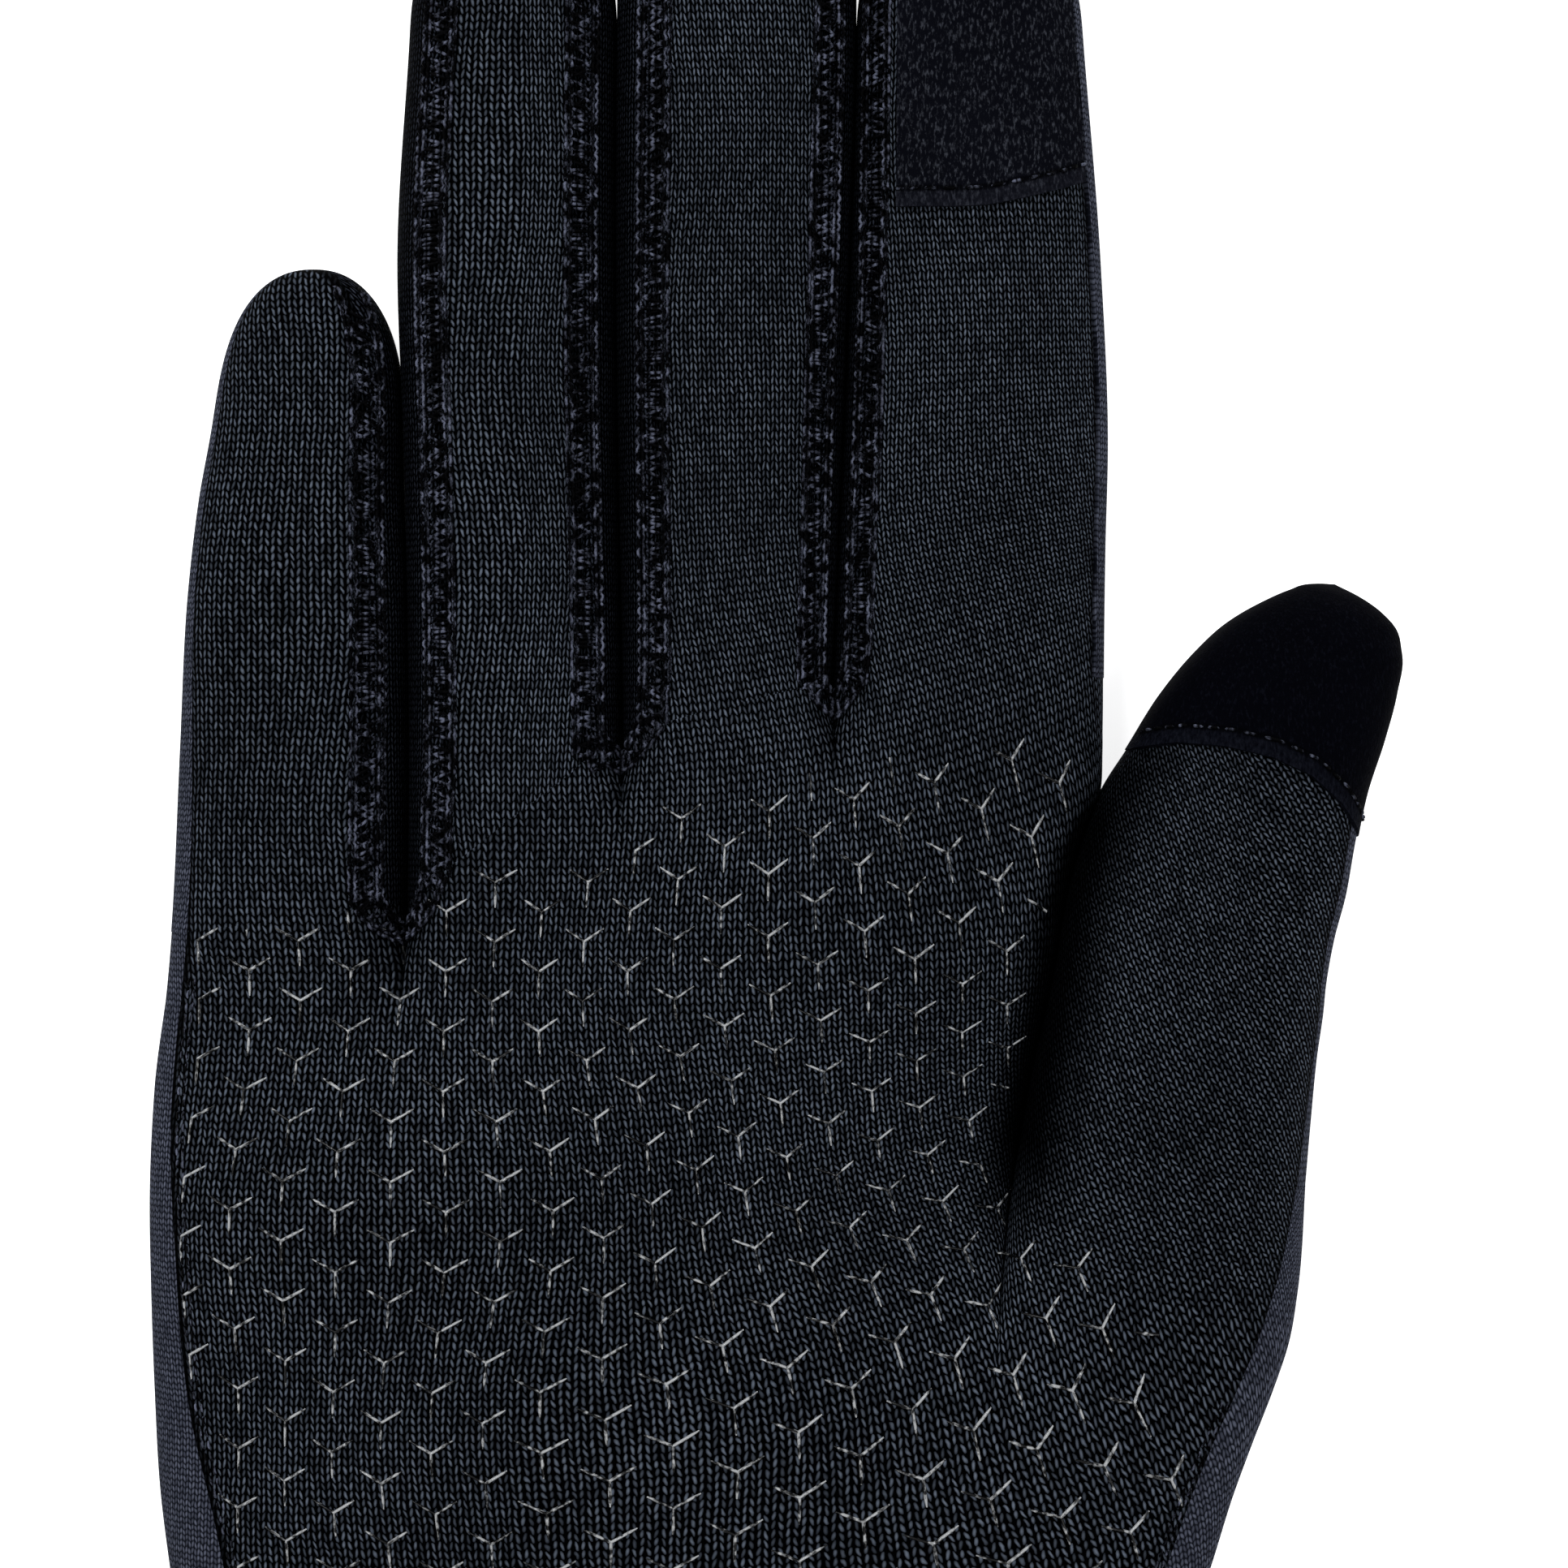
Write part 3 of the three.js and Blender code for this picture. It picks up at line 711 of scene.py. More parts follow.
def sideSeamTurn(finger, turn, y):
    # The little finger's and the index's outer side seams come nearer to the edge towards the tip: angles are
    # stretched on that side, in two straight parts, so that the seam's column keeps its distance from the edge.
    if "side" not in finger:
        return turn
    _, half, _, _ = fingerAt(finger, y)
    onLeft = finger["side"] == "left"
    inset = through([(10, 2.3), (20, 2.2), (40, 1.35), (80, 0.9), (130, 0.9)], y) if onLeft else 1.5
    seam = np.arccos(((half - inset) / half) ** 1.2)
    angle = turn if onLeft else math.pi - turn
    share = np.clip((angle - math.pi / 2) / (math.pi / 2 - sideTurn), 0, 1)
    past = np.clip((math.pi - angle) / sideTurn, 0, 1)
    before = angle <= math.pi - sideTurn
    moved = np.where(before, math.pi / 2 + share * (math.pi / 2 - seam), math.pi - past * seam)
    moved = np.where((angle > math.pi / 2) & (angle < math.pi), moved, angle)
    return moved if onLeft else math.pi - moved


def arcFrom(points, middle):
    # Arc length round the sleeve, from its middle column.
    step = np.linalg.norm(np.diff(points, axis=1), axis=2)
    arc = np.concatenate([np.zeros((len(points), 1)), np.cumsum(step, 1)], 1)
    return arc - arc[:, middle : middle + 1]


def blendFinger(piece, name, part, x=0.0, z=0.0):
    hinge = fingers[name]["hinges"][0 if part == "base" else 1]
    reach = bendReach[part]
    bodies = ("hand", f"{name}_base") if part == "base" else (f"{name}_base", f"{name}_tip")
    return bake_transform(piece, *bodies, start=(x, (hinge - reach) / 1000, z), end=(x, (hinge + reach) / 1000, z))


def fingerPanel(name, finger, part, panel, turns, rows, material, nodes):
    # turns run from the panel's right edge to its left one, over the top; the back's run under the sleeve.
    points, y = fingerGrid(finger, part, turns, rows)
    middle = len(turns) // 2 if panel != "front" else int(np.argmin(np.abs(np.asarray(turns) - math.pi / 2)))
    centreX = points[:, middle : middle + 1, 0]
    unrolled = arcFrom(points, middle)
    uv = cloth(centreX - unrolled, y) if panel == "front" else np.stack([unrolled, y], -1)
    centre, half, _, _ = fingerAt(finger, y)
    inside = half - np.abs(points[..., 0] - centre)  # distance in from the edge, where another finger is next
    toLeft = "inner" in finger["seams"]
    toRight = "outer" in finger["seams"]
    shut = (points[..., 0] < centre) & toLeft | (points[..., 0] > centre) & toRight
    # Painted shade on the sides that face another finger, deeper towards the table.
    tone = np.where(shut, smooth((inside - 0.8) / 2.2) * smooth((points[..., 2] - 4) / 6), 1.0)
    # the cloth under a band lies in shadow
    for edge, seam in ((points[:, :1], "outer"), (points[:, -1:], "inner")):
        if panel == "front" and seam in finger["seams"]:
            away = np.linalg.norm(points[..., ::2] - edge[..., ::2], axis=-1)
            tone = tone * mix(0.10, 1, smooth((away - 1.15) / 0.5))
    # Painted shade over the whole fourchette, between the fingers.
    if panel.endswith("Fourchette"):
        tone = mix(0.22, 0.55, tone)
    if panel == "back":
        tone = np.ones_like(y)
    if panel == "front" and "side" in finger:  # a dark line along the side seam
        # Painted shade along the side seam.
        edge = points[:, -1:] if finger["side"] == "left" else points[:, :1]
        fromSeam = np.linalg.norm(points[..., ::2] - edge[..., ::2], axis=-1)
        tone = tone * mix(0.15, 1, smooth(fromSeam / 0.7))
    piece = clothPiece(f"{name}{part.title()}{panel[0].upper()}{panel[1:]}", [(points, uv, tone, False)], material)
    blendFinger(piece, name, part, points[0, 0, 0] / 1000, 0.008)
    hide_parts(*nodes)
    return piece


def turnSteps(start, end, step=0.045):
    return np.linspace(start, end, max(3, int(abs(end - start) / step) + 1))


for name, finger in fingers.items():
    sides = finger["seams"]
    turns = {side: seamTurn(finger, inset, side) for side, inset in sides.items()}
    # Front runs between the seams, or to the side seam where no finger is next to it.
    frontStart = turns.get("outer", sideTurn)
    frontEnd = turns.get("inner", math.pi - sideTurn)
    backStart = 2 * math.pi - turns["inner"] if "inner" in turns else frontEnd
    backEnd = 2 * math.pi + (-turns["outer"] if "outer" in turns else sideTurn)
    for part in ("base", "tip"):
        rows = 44 if part == "base" else 88
        bend = f"{name}_knuckle_bend" if part == "base" else f"{name}_joint_bend"
        panels = [("front", frontStart, frontEnd, knit, [f"{name}_{part}_front", bend])]
        if "inner" in turns:
            panels.append(("innerFourchette", turns["inner"], backStart, seamKnit, [f"{name}_{part}_fourchette_inner"]))
        if "outer" in turns:
            panels.append(("outerFourchette", -turns["outer"], turns["outer"], seamKnit,
                           [f"{name}_{part}_fourchette_outer"]))
        panels.append(("back", backStart, backEnd, sideKnit, [f"{name}_{part}_back"]))
        for panel, start, end, material, nodes in panels:
            fingerPanel(name, finger, part, panel, turnSteps(start, end), rows, material, nodes)
print("fingers ready")

# thumb
# Pairs of left and right edge points, square to the thumb, then half height and level.
thumbChords = np.array([
    (36.3, -6.6, 63.9, -12.2, 13.5, 12.7), (37.6, 0, 64.6, -5.2, 12.9, 12.1), (39, 5.6, 65.2, 0, 12.3, 11.5),
    (40, 10.4, 65.9, 4.2, 11.7, 10.9), (40.8, 15, 66.3, 7.3, 11.2, 10.4), (42.1, 20, 67.1, 11.3, 10.7, 9.9),
    (44.4, 26, 68.4, 16, 10.2, 9.4), (47.2, 30.4, 69.3, 20.8, 9.8, 9.0), (50.2, 35.2, 70.4, 25.8, 9.4, 8.6),
    (54, 39.8, 72.2, 31.2, 8.8, 8.2), (57.1, 42.6, 73.4, 35.6, 7.8, 7.9), (60.5, 44.6, 73.9, 39.6, 6.3, 7.7),
    (63.2, 45.8, 72.9, 42.6, 4.3, 7.6), (65.2, 46.35, 70.2, 44.9, 2.2, 7.5), (67.6, 46.4, 67.6, 46.4, 0.0, 7.5)])
thumbMiddles = (thumbChords[:, 0:2] + thumbChords[:, 2:4]) / 2
thumbPlaces = np.concatenate([[0], np.cumsum(np.hypot(*np.diff(thumbMiddles, axis=0).T))])
thumbKnots = np.column_stack([thumbPlaces, thumbChords])
thumbSplit = thumbPlaces[4]


def thumbPoint(turn, place, grow=0.0):
    # A point between the chord's ends by (1 + cos(turn)) / 2, lifted by half height * sin(turn).
    lx, ly, rx, ry, tall, level = through(thumbKnots, place)
    cx, cy, dx, dy = (lx + rx) / 2, (ly + ry) / 2, (rx - lx) / 2, (ry - ly) / 2
    length = np.maximum(np.hypot(dx, dy), 1e-6)
    spread = power(np.cos(turn), thumbRoundness) * (1 + grow / np.maximum(length, 1.2))
    z = level + (np.maximum(tall, 0) + grow) * power(np.sin(turn), thumbRoundness)
    return np.stack([cx + dx * spread, cy + dy * spread, grounded(z)], -1)


def thumbSeamTurn(place):  # the side seam, as an angle, drawn close to the edge
    inset = np.interp(place, [0, 12, 30, 60], [1.5, 0.8, 1.2, 1.2])
    lx, ly, rx, ry, _, _ = through(thumbKnots, place)
    half = np.maximum(np.hypot(rx - lx, ry - ly) / 2, 2.0)
    return np.arccos(np.clip(((half - inset) / half), 0, 1) ** 1.25)


def thumbGrid(places, start, end, columns):
    # start and end are angles, one for each row
    place = np.asarray(places)[:, None]
    turn = mix(np.asarray(start)[:, None], np.asarray(end)[:, None], crossSteps(columns, 0.3)[None, :])
    return thumbPoint(turn, place + 0 * turn), place + 0 * turn


def thumbCloth(points):
    # Unrolled: arc length round the sleeve from the column nearest the top, laid along the chord.
    middle = points.shape[1] // 2
    offset = -arcFrom(points, middle)
    chord = points[:, :1, :2] - points[:, -1:, :2]
    chord = chord / np.maximum(np.linalg.norm(chord, axis=2, keepdims=True), 1e-6)
    flat = points[:, middle : middle + 1, :2] + chord * offset[..., None]
    return cloth(flat[..., 0], flat[..., 1], 1.0)


def blendThumb(piece):
    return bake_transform(piece)


for part in ("base", "tip"):
    if part == "base":
        places = np.linspace(0, thumbSplit, 46)
    else:
        places = np.concatenate([np.linspace(thumbSplit, thumbPlaces[9], 56, endpoint=False),
                                 mix(thumbPlaces[9], thumbPlaces[-1], np.sin(np.linspace(0, math.pi / 2, 34)))])
    seam = thumbSeamTurn(places)
    left = np.full(len(places), math.pi)
    points, _ = thumbGrid(places, seam, left, 74)
    lx, ly, rx, ry, _, _ = through(thumbKnots, places)
    fromLeft = np.hypot(points[..., 0] - lx[:, None], points[..., 1] - ly[:, None])
    # Painted shade next to the palm, and a dark painted line along the side seam.
    towardsRoot = mix(0.55, 1, smooth((thumbPlaces[8] - places) / 14))[:, None]
    tone = mix(0.95, mix(0.04, 0.92, smooth((fromLeft - 0.8) / 6.5)), towardsRoot)  # shade next to the palm
    tone = tone * mix(0.2, 1, smooth((points[:, :1, 0] - points[..., 0]) / 0.8))  # and a dark line along the side seam
    front = clothPiece(f"thumb{part.title()}Front", [(points, thumbCloth(points), tone, False)], knit)
    under, place = thumbGrid(places, left, 2 * math.pi + seam, 78)
    underUv = np.stack([arcFrom(under, 0), place], -1)
    backPiece = clothPiece(f"thumb{part.title()}Back", [(under, underUv, 1.0, False)], sideKnit)
    for piece, node in ((front, f"thumb_{part}_front"), (backPiece, f"thumb_{part}_back")):
        blendThumb(piece)
        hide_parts(node, *(["thumb_joint_bend"] if part == "tip" else []))
print("thumb ready")

# touch patches
patchSetup = {"grow": 0.5, "thick": 0.6}


def indexPatchEdge(x):  # lower edge of the patch across the finger
    return np.interp(x, [24, 30, 33, 36.6, 40.1, 43.4, 46], [82.7, 82.55, 82.7, 83.5, 84.5, 85.8, 87])


def indexPatch():
    finger = fingers["index"]
    centre, half, _, _ = fingerAt(finger, np.array(84.0))
    leftTurn = math.pi - math.acos(((centre - 24.5) / half) ** 1.2)
    rightTurn = math.acos(((half - 1.7) / half) ** 1.2)
    turn = turnSteps(rightTurn, leftTurn, 0.03)[None, :]
    x = centre + half * power(np.cos(turn), fingerRoundness)
    edge = indexPatchEdge(x)
    tipStart, tip = finger["tip"] - finger["round"], finger["tip"] + patchSetup["grow"]
    lower = np.linspace(0, 1, 44, endpoint=False)[:, None]
    upper = np.sin(np.linspace(0, math.pi / 2, 34))[:, None]
    y = np.concatenate([mix(edge, tipStart, lower), mix(tipStart, tip, upper) + 0 * turn])
    points = fingerPoint(finger, turn + 0 * y, y, patchSetup["grow"])
    uv = np.stack([x + 0 * y, y - edge], -1)
    piece = clothPiece("indexTouchPatch", [(points, uv, 1.0, False)], suede, patchSetup["thick"])
    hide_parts("index_touch_patch")
    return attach(piece, "index_tip")


def thumbPatchEdge(q):  # place along the thumb of the patch's lower edge, by the share across from left to right
    return thumbPlaces[7] + np.interp(q, [0, 0.15, 0.33, 0.52, 0.7, 0.86, 1], [-0.4, 1.8, 3.3, 4.2, 4.2, 3.0, 0.8])


def thumbPatchGrow(turn):  # how far the patch stands proud: flush at the sides of the thumb
    return mix(0.12, patchSetup["grow"], smooth(np.sin(turn) * 1.6))


def thumbPatch():
    turn = np.linspace(-0.45, math.pi + 0.1, 84)[None, :]
    q = (1 + power(np.cos(turn), 0.8)) / 2
    edge = thumbPatchEdge(q)
    rows = np.linspace(0, 1, 40, endpoint=False)[:, None]
    tips = np.sin(np.linspace(0, math.pi / 2, 36))[:, None]
    place = np.concatenate([mix(edge, thumbPlaces[9], rows), mix(thumbPlaces[9], thumbPlaces[-1], tips) + 0 * turn])
    points = thumbPoint(turn + 0 * place, place, thumbPatchGrow(turn))
    uv = np.stack([q * 25 + 0 * place, place - edge], -1)
    piece = clothPiece("thumbTouchPatch", [(points, uv, 1.0, False)], darkSuede, patchSetup["thick"])
    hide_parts("thumb_touch_patch")
    return blendThumb(piece)


indexPatch()
thumbPatch()
print("patches ready")


# threads
def threadTubes(name, paths, radius, sides=5, tone=None):
    # paths: threads x stations x 3. Each thread is a tube; its ends are pinched shut.
    paths = np.asarray(paths, float)
    count, stations = paths.shape[:2]
    along = unit(np.gradient(paths, axis=1))
    sideways = unit(np.cross(along, np.array([0.13, 0.21, 0.97])))
    upward = np.cross(sideways, along)
    angle = np.linspace(0, 2 * math.pi, sides, endpoint=False)
    width = np.full(stations, radius)
    width[0] = width[-1] = radius * 0.35
    ring = (np.cos(angle)[:, None] * sideways[:, :, None, :] + np.sin(angle)[:, None] * upward[:, :, None, :])
    points = paths[:, :, None, :] + ring * width[None, :, None, None]
    faces = gridFaces(stations, sides, closed=True)
    offsets = (np.arange(count) * stations * sides)[:, None, None]
    quads = (faces[None] + offsets).reshape(-1, 4)
    # Painted shade: threads darken below 5 mm, between the fingers and towards the table.
    if tone is None:
        tone = smooth((paths[:, :, 2] - 5) / 7)
    points[..., 2] = grounded(points[..., 2])
    shade = np.broadcast_to(tone[:, :, None], (count, stations, sides))
    piece = makeMesh(name, points.reshape(-1, 3), quads, tone=shade)
    closeEnds(piece)
    piece.data.materials.append(thread)
    return piece


def closeEnds(piece):
    work = bmesh.new()
    work.from_mesh(piece.data)
    bmesh.ops.holes_fill(work, edges=work.edges, sides=0)
    bmesh.ops.recalc_face_normals(work, faces=work.faces)
    work.to_mesh(piece.data)
    work.free()
    piece.data.shade_smooth()


bandSetup = {"half": 1.35, "rung": 2.6, "threads": 5, "spacing": 0.44, "radius": 0.17, "loop": 0.95, "lift": 0.13}


def flatlock(line, acrossAt, normalAt, setup):
    # A flat seam along line(s), s in millimetres: two rails of leaning loops, and rungs of short threads between.
    # line, acrossAt and normalAt give the centre, the sideways direction and the outward normal at s.
    def at(s, side, lift):
        return line(s) + acrossAt(s) * side[..., None] + normalAt(s) * lift[..., None]

    length = setup["length"]
    rungs = np.arange(setup["start"] + 0.8, setup["start"] + length - 0.4, setup["rung"])
    offsets = (np.arange(setup["threads"]) - (setup["threads"] - 1) / 2) * setup["spacing"]
    s = (rungs[:, None] + offsets[None, :]).ravel()
    t = np.linspace(-1, 1, 6)
    jitter, turn = np.sin(s * 12.9898) * 0.22, np.sin(s * 7.31 + 1) * 0.60
    reachOut = setup["half"] * (0.86 + 0.2 * np.sin(s * 5.7))
    rung = at(s[:, None] + t[None, :] * turn[:, None] + jitter[:, None], reachOut[:, None] * t[None, :],
              setup["lift"] + 0.20 * (1 - t[None, :] ** 2) + 0 * s[:, None])
    loops = np.arange(setup["start"] + 0.2, setup["start"] + length, setup["loop"])
    t = np.linspace(0, 1, 6)
    rails = []
    for side in (-1, 1):
        for phase, reach in ((0.0, 0.42), (0.5, -0.30)):
            base = loops + phase * setup["loop"]
            sideways = side * (setup["half"] + 0.10 + reach * np.sin(math.pi * t))
            rails.append(at(base[:, None] + (t[None, :] - 0.5) * setup["loop"] * 1.25,
                            sideways[None, :] + 0 * base[:, None],
                            setup["lift"] + 0.22 * np.sin(math.pi * t)[None, :] + 0 * base[:, None]))
    return np.concatenate([rung] + rails)


def fingerSeam(finger, side, front, part):
    # The band along one of a finger's seams, on the palm side or the back.
    turn = seamTurn(finger, finger["seams"][side], side) * (1 if front else -1)
    centre, half, _, _ = fingerAt(finger, np.array(finger["hinges"][0]))
    start = float(crotchLine(centre + half * power(np.cos(turn), fingerRoundness))) + 0.4
    if part == "tip":
        start = finger["middle"]
    end = finger["middle"] if part == "base" else finger["tip"] - 3.2
    turnStep, core = 0.02, 7.6  # core: height of the finger's middle line

    def line(y, more=0.0):
        return fingerPoint(finger, np.full_like(y, turn + more), y)

    def acrossAt(y):
        return unit(line(y, turnStep) - line(y, -turnStep))

    def normalAt(y):
        n = unit(np.cross(line(y + 0.2) - line(y - 0.2), acrossAt(y)))
        outward = line(y) - np.stack([np.full_like(y, centre), y, np.full_like(y, core)], -1)
        return n * np.sign((n * outward).sum(-1, keepdims=True))

    return flatlock(line, acrossAt, normalAt, {**bandSetup, "start": start, "length": end - start})


for name, finger in fingers.items():
    for part in ("base", "tip"):
        for front in (True, False):
            paths = np.concatenate([fingerSeam(finger, side, front, part) for side in finger["seams"]])
            label = f"{name}{part.title()}Seams{'Front' if front else 'Back'}"
            piece = threadTubes(label, paths, bandSetup["radius"])
            blendFinger(piece, name, part)
print("finger seams ready")


stitchSetup = {"pitch": 1.75, "length": 1.25, "radius": 0.16, "fromHem": 1.75}


def stitchRow(surface, start, end, pitch=stitchSetup["pitch"], length=stitchSetup["length"]):
    # Short stitches that dive into the cloth at both ends; surface(s) gives points s millimetres along the row.
    s = np.arange(start, end - length, pitch)[:, None] + np.linspace(0, 1, 6)[None, :] * length
    rise = np.array([-0.12, 0.06, 0.12, 0.12, 0.06, -0.12])[None, :]
    points, outwards = surface(s)
    return points + outwards * rise[..., None]


def indexHemStitches(s):
    finger = fingers["index"]
    centre, half, _, _ = fingerAt(finger, np.array(84.0))
    turn = math.pi - 0.8 - s / 12.6
    x = centre + half * power(np.cos(turn), fingerRoundness)
    y = indexPatchEdge(x) + stitchSetup["fromHem"]
    low, laid, high = (fingerPoint(finger, turn, y, patchSetup["grow"] + more) for more in (0, 0.02, 1))
    return laid, high - low


def thumbHemStitches(s):
    turn = math.pi - 0.25 - s / 12.4
    q = (1 + power(np.cos(turn), 0.8)) / 2
    place = thumbPatchEdge(q) + stitchSetup["fromHem"]
    low, laid, high = (thumbPoint(turn, place, thumbPatchGrow(turn) + more) for more in (0, 0.02, 1))
    return laid, high - low


stitches = threadTubes("indexHemStitches", stitchRow(indexHemStitches, 0, 23), stitchSetup["radius"])
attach(stitches, "index_tip")
blendThumb(threadTubes("thumbHemStitches", stitchRow(thumbHemStitches, 0, 36), stitchSetup["radius"]))


def palmSurface(x, y, sign=1):
    z, _ = palmParts(x, y, sign)
    return np.stack([x, y, grounded(z)], -1)


def sideStitches(name, edge, seam, inward, start, end):
    # Two rows of small stitches just inside a side seam of the palm.
    def row(inset):
        def surface(s):
            y = start - s
            x = through(handTable[edge], y) + inward * (through(handTable[seam], y) + inset)
            point = palmSurface(x, y)
            return point, 0 * point + np.array([-0.35 * inward, 0.0, 0.94])

        return stitchRow(surface, 0, start - end, 1.15, 0.85)

    paths = np.concatenate([row(0.75), row(1.35)])
    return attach(threadTubes(name, paths, 0.12), "hand")


sideStitches("littleSideStitches", "left", "seamLeft", 1, 8, wrist + 1)
sideStitches("thumbSideStitches", "right", "seamRight", -1, -32, wrist + 1)


def crotchSeams(sign):
    # Between two fingers the band turns round the crotch: down one flank, a tight U, up the other.
    paths = []
    names = list(fingers)
    for i in range(3):
        leftF, rightF = fingers[names[i]], fingers[names[i + 1]]
        xs = []
        for finger, side in ((leftF, "outer"), (rightF, "inner")):
            turn = seamTurn(finger, finger["seams"][side], side)
            centre, half, _, _ = fingerAt(finger, np.array(finger["hinges"][0]))
            xs.append(float(centre + half * power(np.cos(turn), fingerRoundness)))
        cx, cy = crotches[i + 1]
        ends = [(x, float(crotchLine(x)) + 0.5) for x in xs]
        knots = np.array([ends[0], (mix(ends[0][0], cx, 0.45), cy - 2.0), (cx, cy - 3.2),
                          (mix(ends[1][0], cx, 0.45), cy - 1.2),
                          ends[1]])
        place = np.concatenate([[0], np.cumsum(np.hypot(*np.diff(knots, axis=0).T))])
        table = np.column_stack([place, knots])

        def line(s):
            x, y = through(table, s)
            return palmSurface(x, y, sign)

        def acrossAt(s):
            x, y = through(table, s)
            xb, yb = through(table, s + 0.1)
            dx, dy = xb - x, yb - y
            size = np.maximum(np.hypot(dx, dy), 1e-6)
            nx, ny = -dy / size * 0.1, dx / size * 0.1
            return unit(palmSurface(x + nx, y + ny, sign) - palmSurface(x - nx, y - ny, sign))

        def normalAt(s):
            n = unit(np.cross(acrossAt(s), line(s + 0.1) - line(s - 0.1)))
            return n * np.sign(n[..., 2:3]) * sign

        paths.append(flatlock(line, acrossAt, normalAt, {**bandSetup, "start": 0.0, "length": place[-1], "half": 1.2}))
    return np.concatenate(paths)


for sign, label in ((1, "crotchSeamsFront"), (-1, "crotchSeamsBack")):
    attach(threadTubes(label, crotchSeams(sign), bandSetup["radius"]), "hand")
print("crotch seams ready")


# silicone grip print
gripSetup = {"pitch": 5.63, "columns": 4.88, "arm": 2.45, "width": 0.15, "height": 0.26, "origin": (-38.6, 3.2)}


def gripPrint():
    # Three arms from each centre, at 90 down and 30 above level, on a lattice that follows the wales.
    columns, rows = np.meshgrid(np.arange(-2, 24), np.arange(-16, 8), indexing="ij")
    u = gripSetup["origin"][0] + columns * gripSetup["columns"]
    v = gripSetup["origin"][1] + (rows + 0.5 * (columns % 2)) * gripSetup["pitch"]
    u, v = u.ravel(), v.ravel()
    angle = np.radians([-90, 30, 150])[None, :, None, None]
    along = np.linspace(0, 1, 5)[None, None, :, None] * gripSetup["arm"] - 0.05
    side = np.array([-1, -0.55, 0, 0.55, 1])[None, None, None, :]
    profile = np.array([-0.25, 0.72, 1.0, 0.72, -0.25])[None, None, None, :]
    taper = np.array([1, 1, 1, 0.95, 0.45])[None, None, :, None]
    across = side * gripSetup["width"] * taper
    du = along * np.cos(angle) - across * np.sin(angle)
    dv = along * np.sin(angle) + across * np.cos(angle)
    lift = profile * gripSetup["height"] * np.array([1, 1, 1, 0.9, 0.1])[None, None, :, None] + 0 * du
    wantU, wantV = u[:, None, None, None] + du, v[:, None, None, None] + dv
    x, y = wantU.copy(), wantV.copy()
    for _ in range(40):  # find the place whose cloth directions are the wanted ones
        now = cloth(x, y)
        x, y = x + 0.6 * (wantU - now[..., 0]), y + 0.6 * (wantV - now[..., 1])
    cx, cy = x.mean((2, 3)), y.mean((2, 3))
    top = np.interp(cx, [-44, -12.8, -2.4, 2.4, 11.2, 20, 28, 37], [18, 18.2, 20.4, 24.2, 25.8, 27, 29, 31])
    rightLimit = np.interp(cy, [-80, -60, -48, -35, -24, -8, 0, 30], [38, 44, 49, 52, 48, 31, 35.8, 41])
    leftLimit = through(handTable["left"], cy) + through(handTable["seamLeft"], cy) + 1.4
    keep = (cy < top) & (y.min((2, 3)) > -80)
    keep &= (x.max((2, 3)) < rightLimit + 1) & (x.min((2, 3)) > leftLimit - 1)
    flat = np.stack([x, y, 60 + 0 * x], -1)[keep]
    lift = np.broadcast_to(lift, x.shape)[keep]
    count = len(flat)
    seed = np.sin(u[:, None] * 12.9898 + v[:, None] * 78.233 + np.arange(3) * 37.7) * 43758.5453
    chance = seed - np.floor(seed)
    # Painted glint brightness for each arm, set by how it faces the light: down, up right, up left.
    paintedGlint = np.array([0.42, 0.80, 0.22])[None, :] + 0.5 * (chance - 0.5)  # down, up right, up left
    paintedGlint = np.broadcast_to(paintedGlint[:, :, None, None], x.shape)[keep]
    uv = np.stack([np.broadcast_to(along, x.shape)[keep], paintedGlint], -1)
    faces = gridFaces(5, 5)
    quads = (faces[None] + (np.arange(count) * 25)[:, None, None]).reshape(-1, 4)
    piece = makeMesh("gripPrint", flat.reshape(-1, 3), quads, uv.reshape(-1, 2))
    lay = piece.modifiers.new("lay", "SHRINKWRAP")
    lay.target, lay.wrap_method = palm, "PROJECT"
    lay.use_project_z, lay.use_negative_direction, lay.use_positive_direction = True, True, False
    laid = piece.evaluated_get(bpy.context.evaluated_depsgraph_get()).data
    place = np.zeros(len(laid.vertices) * 3, np.float32)
    laid.vertices.foreach_get("co", place)
    place = place.reshape(-1, 3)
    piece.modifiers.remove(lay)
    place[:, 2] += lift.ravel() / 1000
    place[place[:, 2] > 0.05, 2] = 0.01
    piece.data.vertices.foreach_set("co", place.ravel())
    piece.data.update()
    piece.data.materials.append(silicone)
    print("grip arms:", count)
    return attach(piece, "hand")


gripPrint()

# cuff
cuffSetup = {"end": -128, "hem": 14, "elastic": 4}


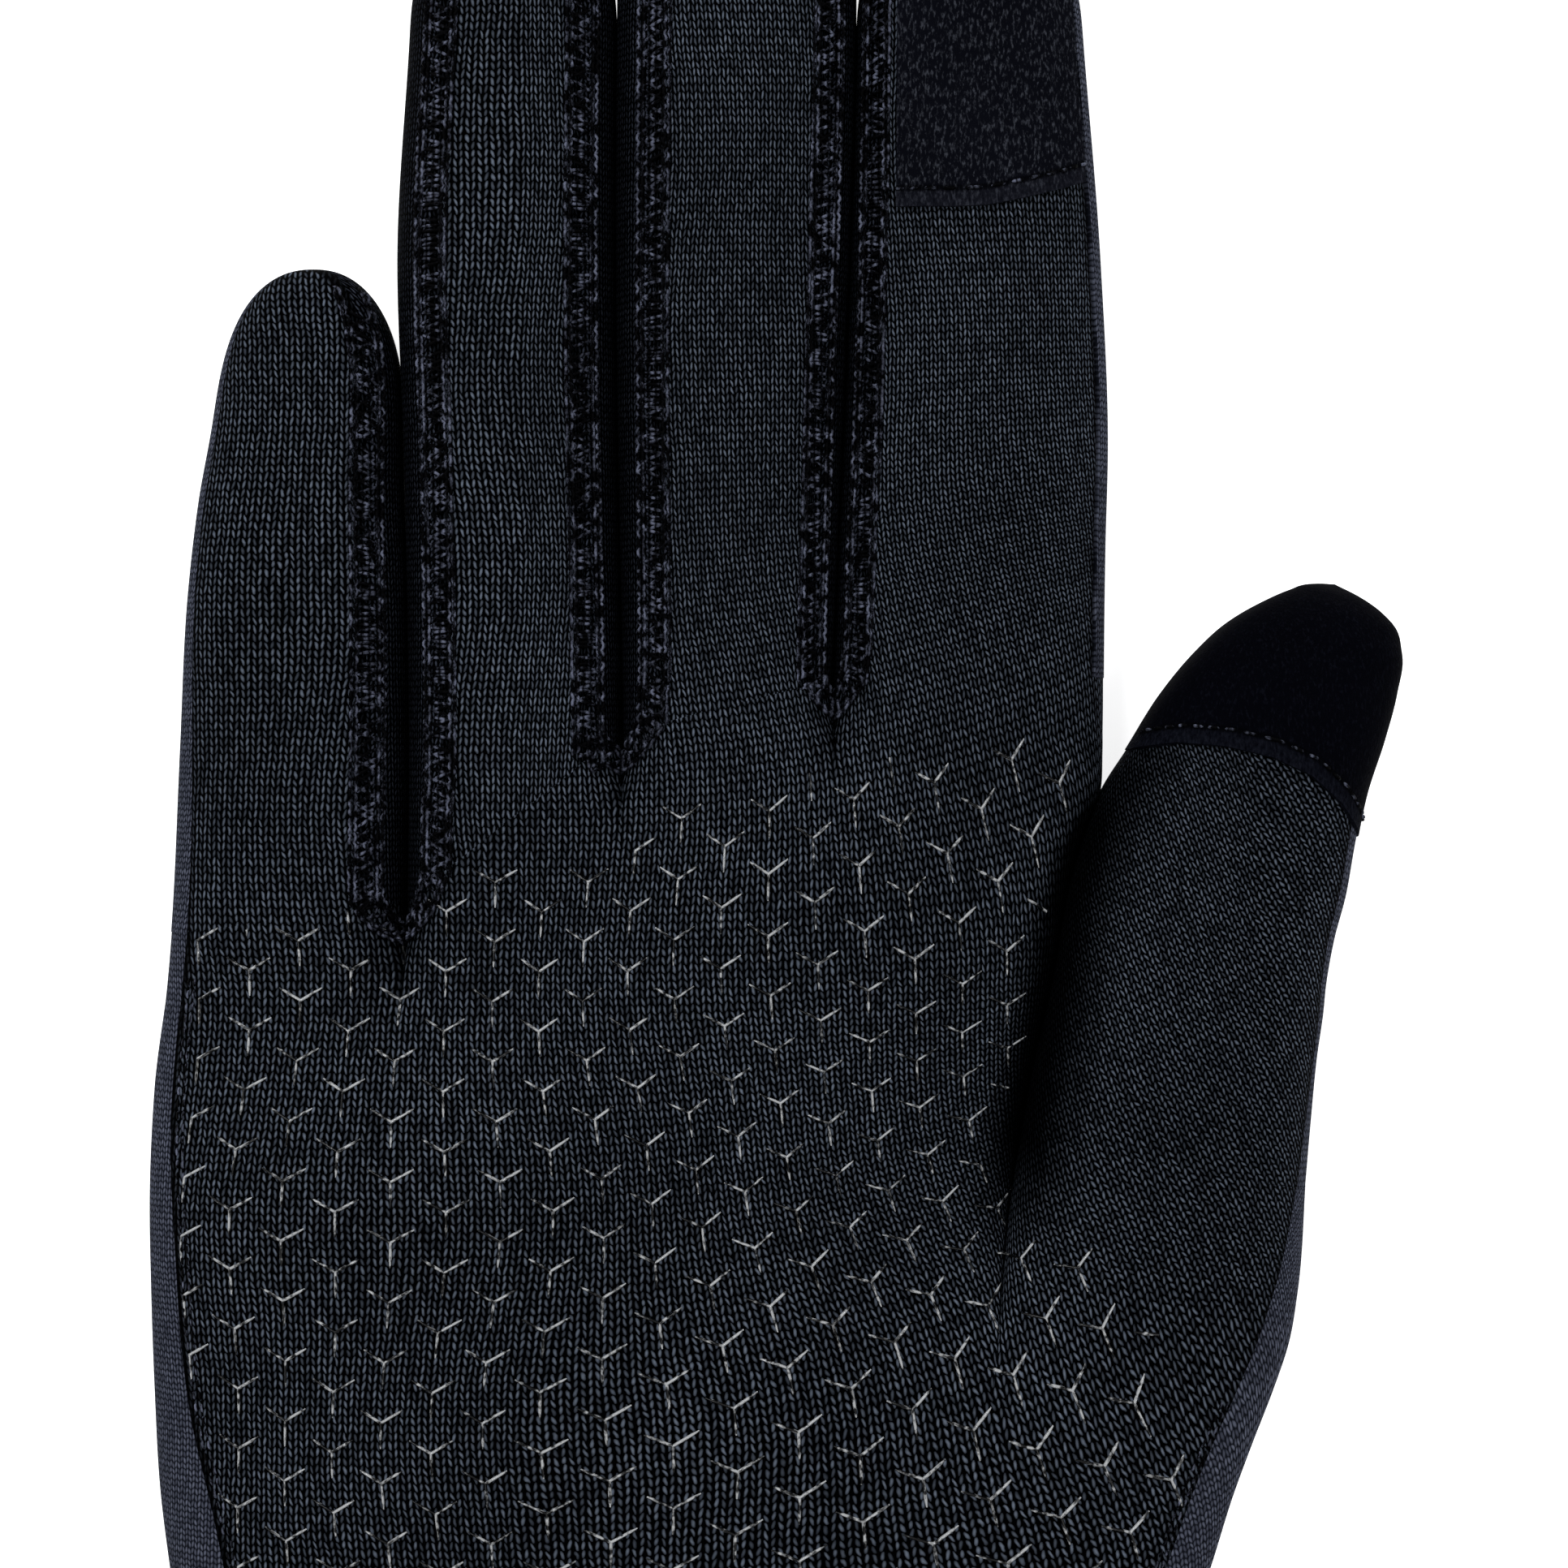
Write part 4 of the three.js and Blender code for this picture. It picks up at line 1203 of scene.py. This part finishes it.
def cuffGrid(front, rows=96, columns=110, inset=0.0, top=wrist, bottom=cuffSetup["end"]):
    # A level section at each row; front and back meet at the side seams. Gathers fade away from the wrist.
    y = np.linspace(top, bottom, rows)[:, None]
    left, right, tall = (through(handTable[k], y) for k in ("left", "right", "tall"))
    centre, half = (left + right) / 2, (right - left) / 2 - inset
    insets = (through(handTable[side], y) for side in ("seamLeft", "seamRight"))
    seamL, seamR = (np.arccos(np.clip((half - seam) / half, 0, 1) ** 1.3) for seam in insets)
    start, end = (seamR, math.pi - seamL) if front else (math.pi - seamL, 2 * math.pi + seamR)
    turn = mix(start, end, np.linspace(0, 1, columns)[None, :])
    gather = 0.35 * np.sin(turn * 62 + 1.5 * np.sin(turn * 7))
    gather = gather * np.exp(-(((y - wrist) / 7) ** 2)) * smooth((wrist - y) / 3)
    x = centre + (half + gather) * power(np.cos(turn), cuffRoundness)
    z = tall - sink + (tall - inset + gather) * power(np.sin(turn), cuffRoundness)
    z = np.maximum(z, 0.02 + inset)
    points = np.stack([x, y + 0 * x, z], -1)
    return points, np.stack([arcFrom(points, 0), y + 0 * x], -1), 1.0, True


for front, name in ((True, "cuffFront"), (False, "cuffBack")):
    piece = clothPiece(name, [cuffGrid(front)], cuffKnit if front else sideKnit)
    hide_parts("cuff_front" if front else "cuff_back")
    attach(piece, "hand")


def cuffStitches(y, meanRadius=30.0):
    # A row of stitches round the cuff at distance y, laid by angle as on a circle.
    def surface(s):
        left, right, tall = (float(through(handTable[k], np.array(y))) for k in ("left", "right", "tall"))
        turn = s / meanRadius

        def point(grow):
            x = (left + right) / 2 + ((right - left) / 2 + grow) * power(np.cos(turn), cuffRoundness)
            z = tall - sink + (tall + grow) * power(np.sin(turn), cuffRoundness)
            return np.stack([x, y + 0 * turn, np.maximum(z, 0.1)], -1)

        return point(0.05), point(1.05) - point(0.05)

    return stitchRow(surface, 0, meanRadius * 2 * math.pi, 2.4, 1.7)


hemRows = np.concatenate([cuffStitches(cuffSetup["end"] + d) for d in (1.6, cuffSetup["hem"] - 1.4, cuffSetup["hem"])])
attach(threadTubes("cuffHemStitches", hemRows, 0.14, tone=np.ones(hemRows.shape[:2])), "hand")


def innerBand(name, top, bottom, inset, material, node):
    grids = [cuffGrid(True, 14, 110, inset, top, bottom), cuffGrid(False, 14, 130, inset, top, bottom)]
    piece = clothPiece(name, grids, material, 0.9, 0.3)
    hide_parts(node)
    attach(piece, "hand")


innerBand("cuffHem", cuffSetup["end"] + cuffSetup["hem"], cuffSetup["end"] + 0.1, 1.1, insideKnit, "cuff_hem")
innerBand("wristElastic", wrist + cuffSetup["elastic"], wrist - cuffSetup["elastic"], 1.2, insideKnit, "wrist_elastic")
frame["nodes"]["size_label"].data.materials.clear()
frame["nodes"]["size_label"].data.materials.append(labelTape)
print("cuff ready")

# floor and light
floorHalf, floorLevel = 3000, -0.05
floorCorners = np.array([(-1, -1, 0), (1, -1, 0), (1, 1, 0), (-1, 1, 0)]) * floorHalf + np.array([0, 0, floorLevel])
floor = makeMesh("floor", floorCorners, np.array([[0, 1, 2, 3]]))
floor.data.materials.append(floorMaterial())


def areaLight(name, place, size, watts):
    lamp = bpy.data.lights.new(name, "AREA")
    lamp.shape, lamp.size, lamp.energy = "DISK", size, watts
    lit = bpy.data.objects.new(name, lamp)
    lit.location = place
    lit.rotation_euler = (-Vector(place)).to_track_quat("-Z", "Y").to_euler()
    scene.collection.objects.link(lit)


areaLight("keyLight", (-0.45, 0.75, 1.15), 0.5, 12)
areaLight("fillLight", (0.75, -0.2, 1.2), 0.7, 5)
world = bpy.data.worlds.new("studio")
world.use_nodes = True
world.node_tree.nodes["Background"].inputs[0].default_value = (1, 1, 1, 1)
world.node_tree.nodes["Background"].inputs[1].default_value = 0.5
scene.world = world
print("light ready")
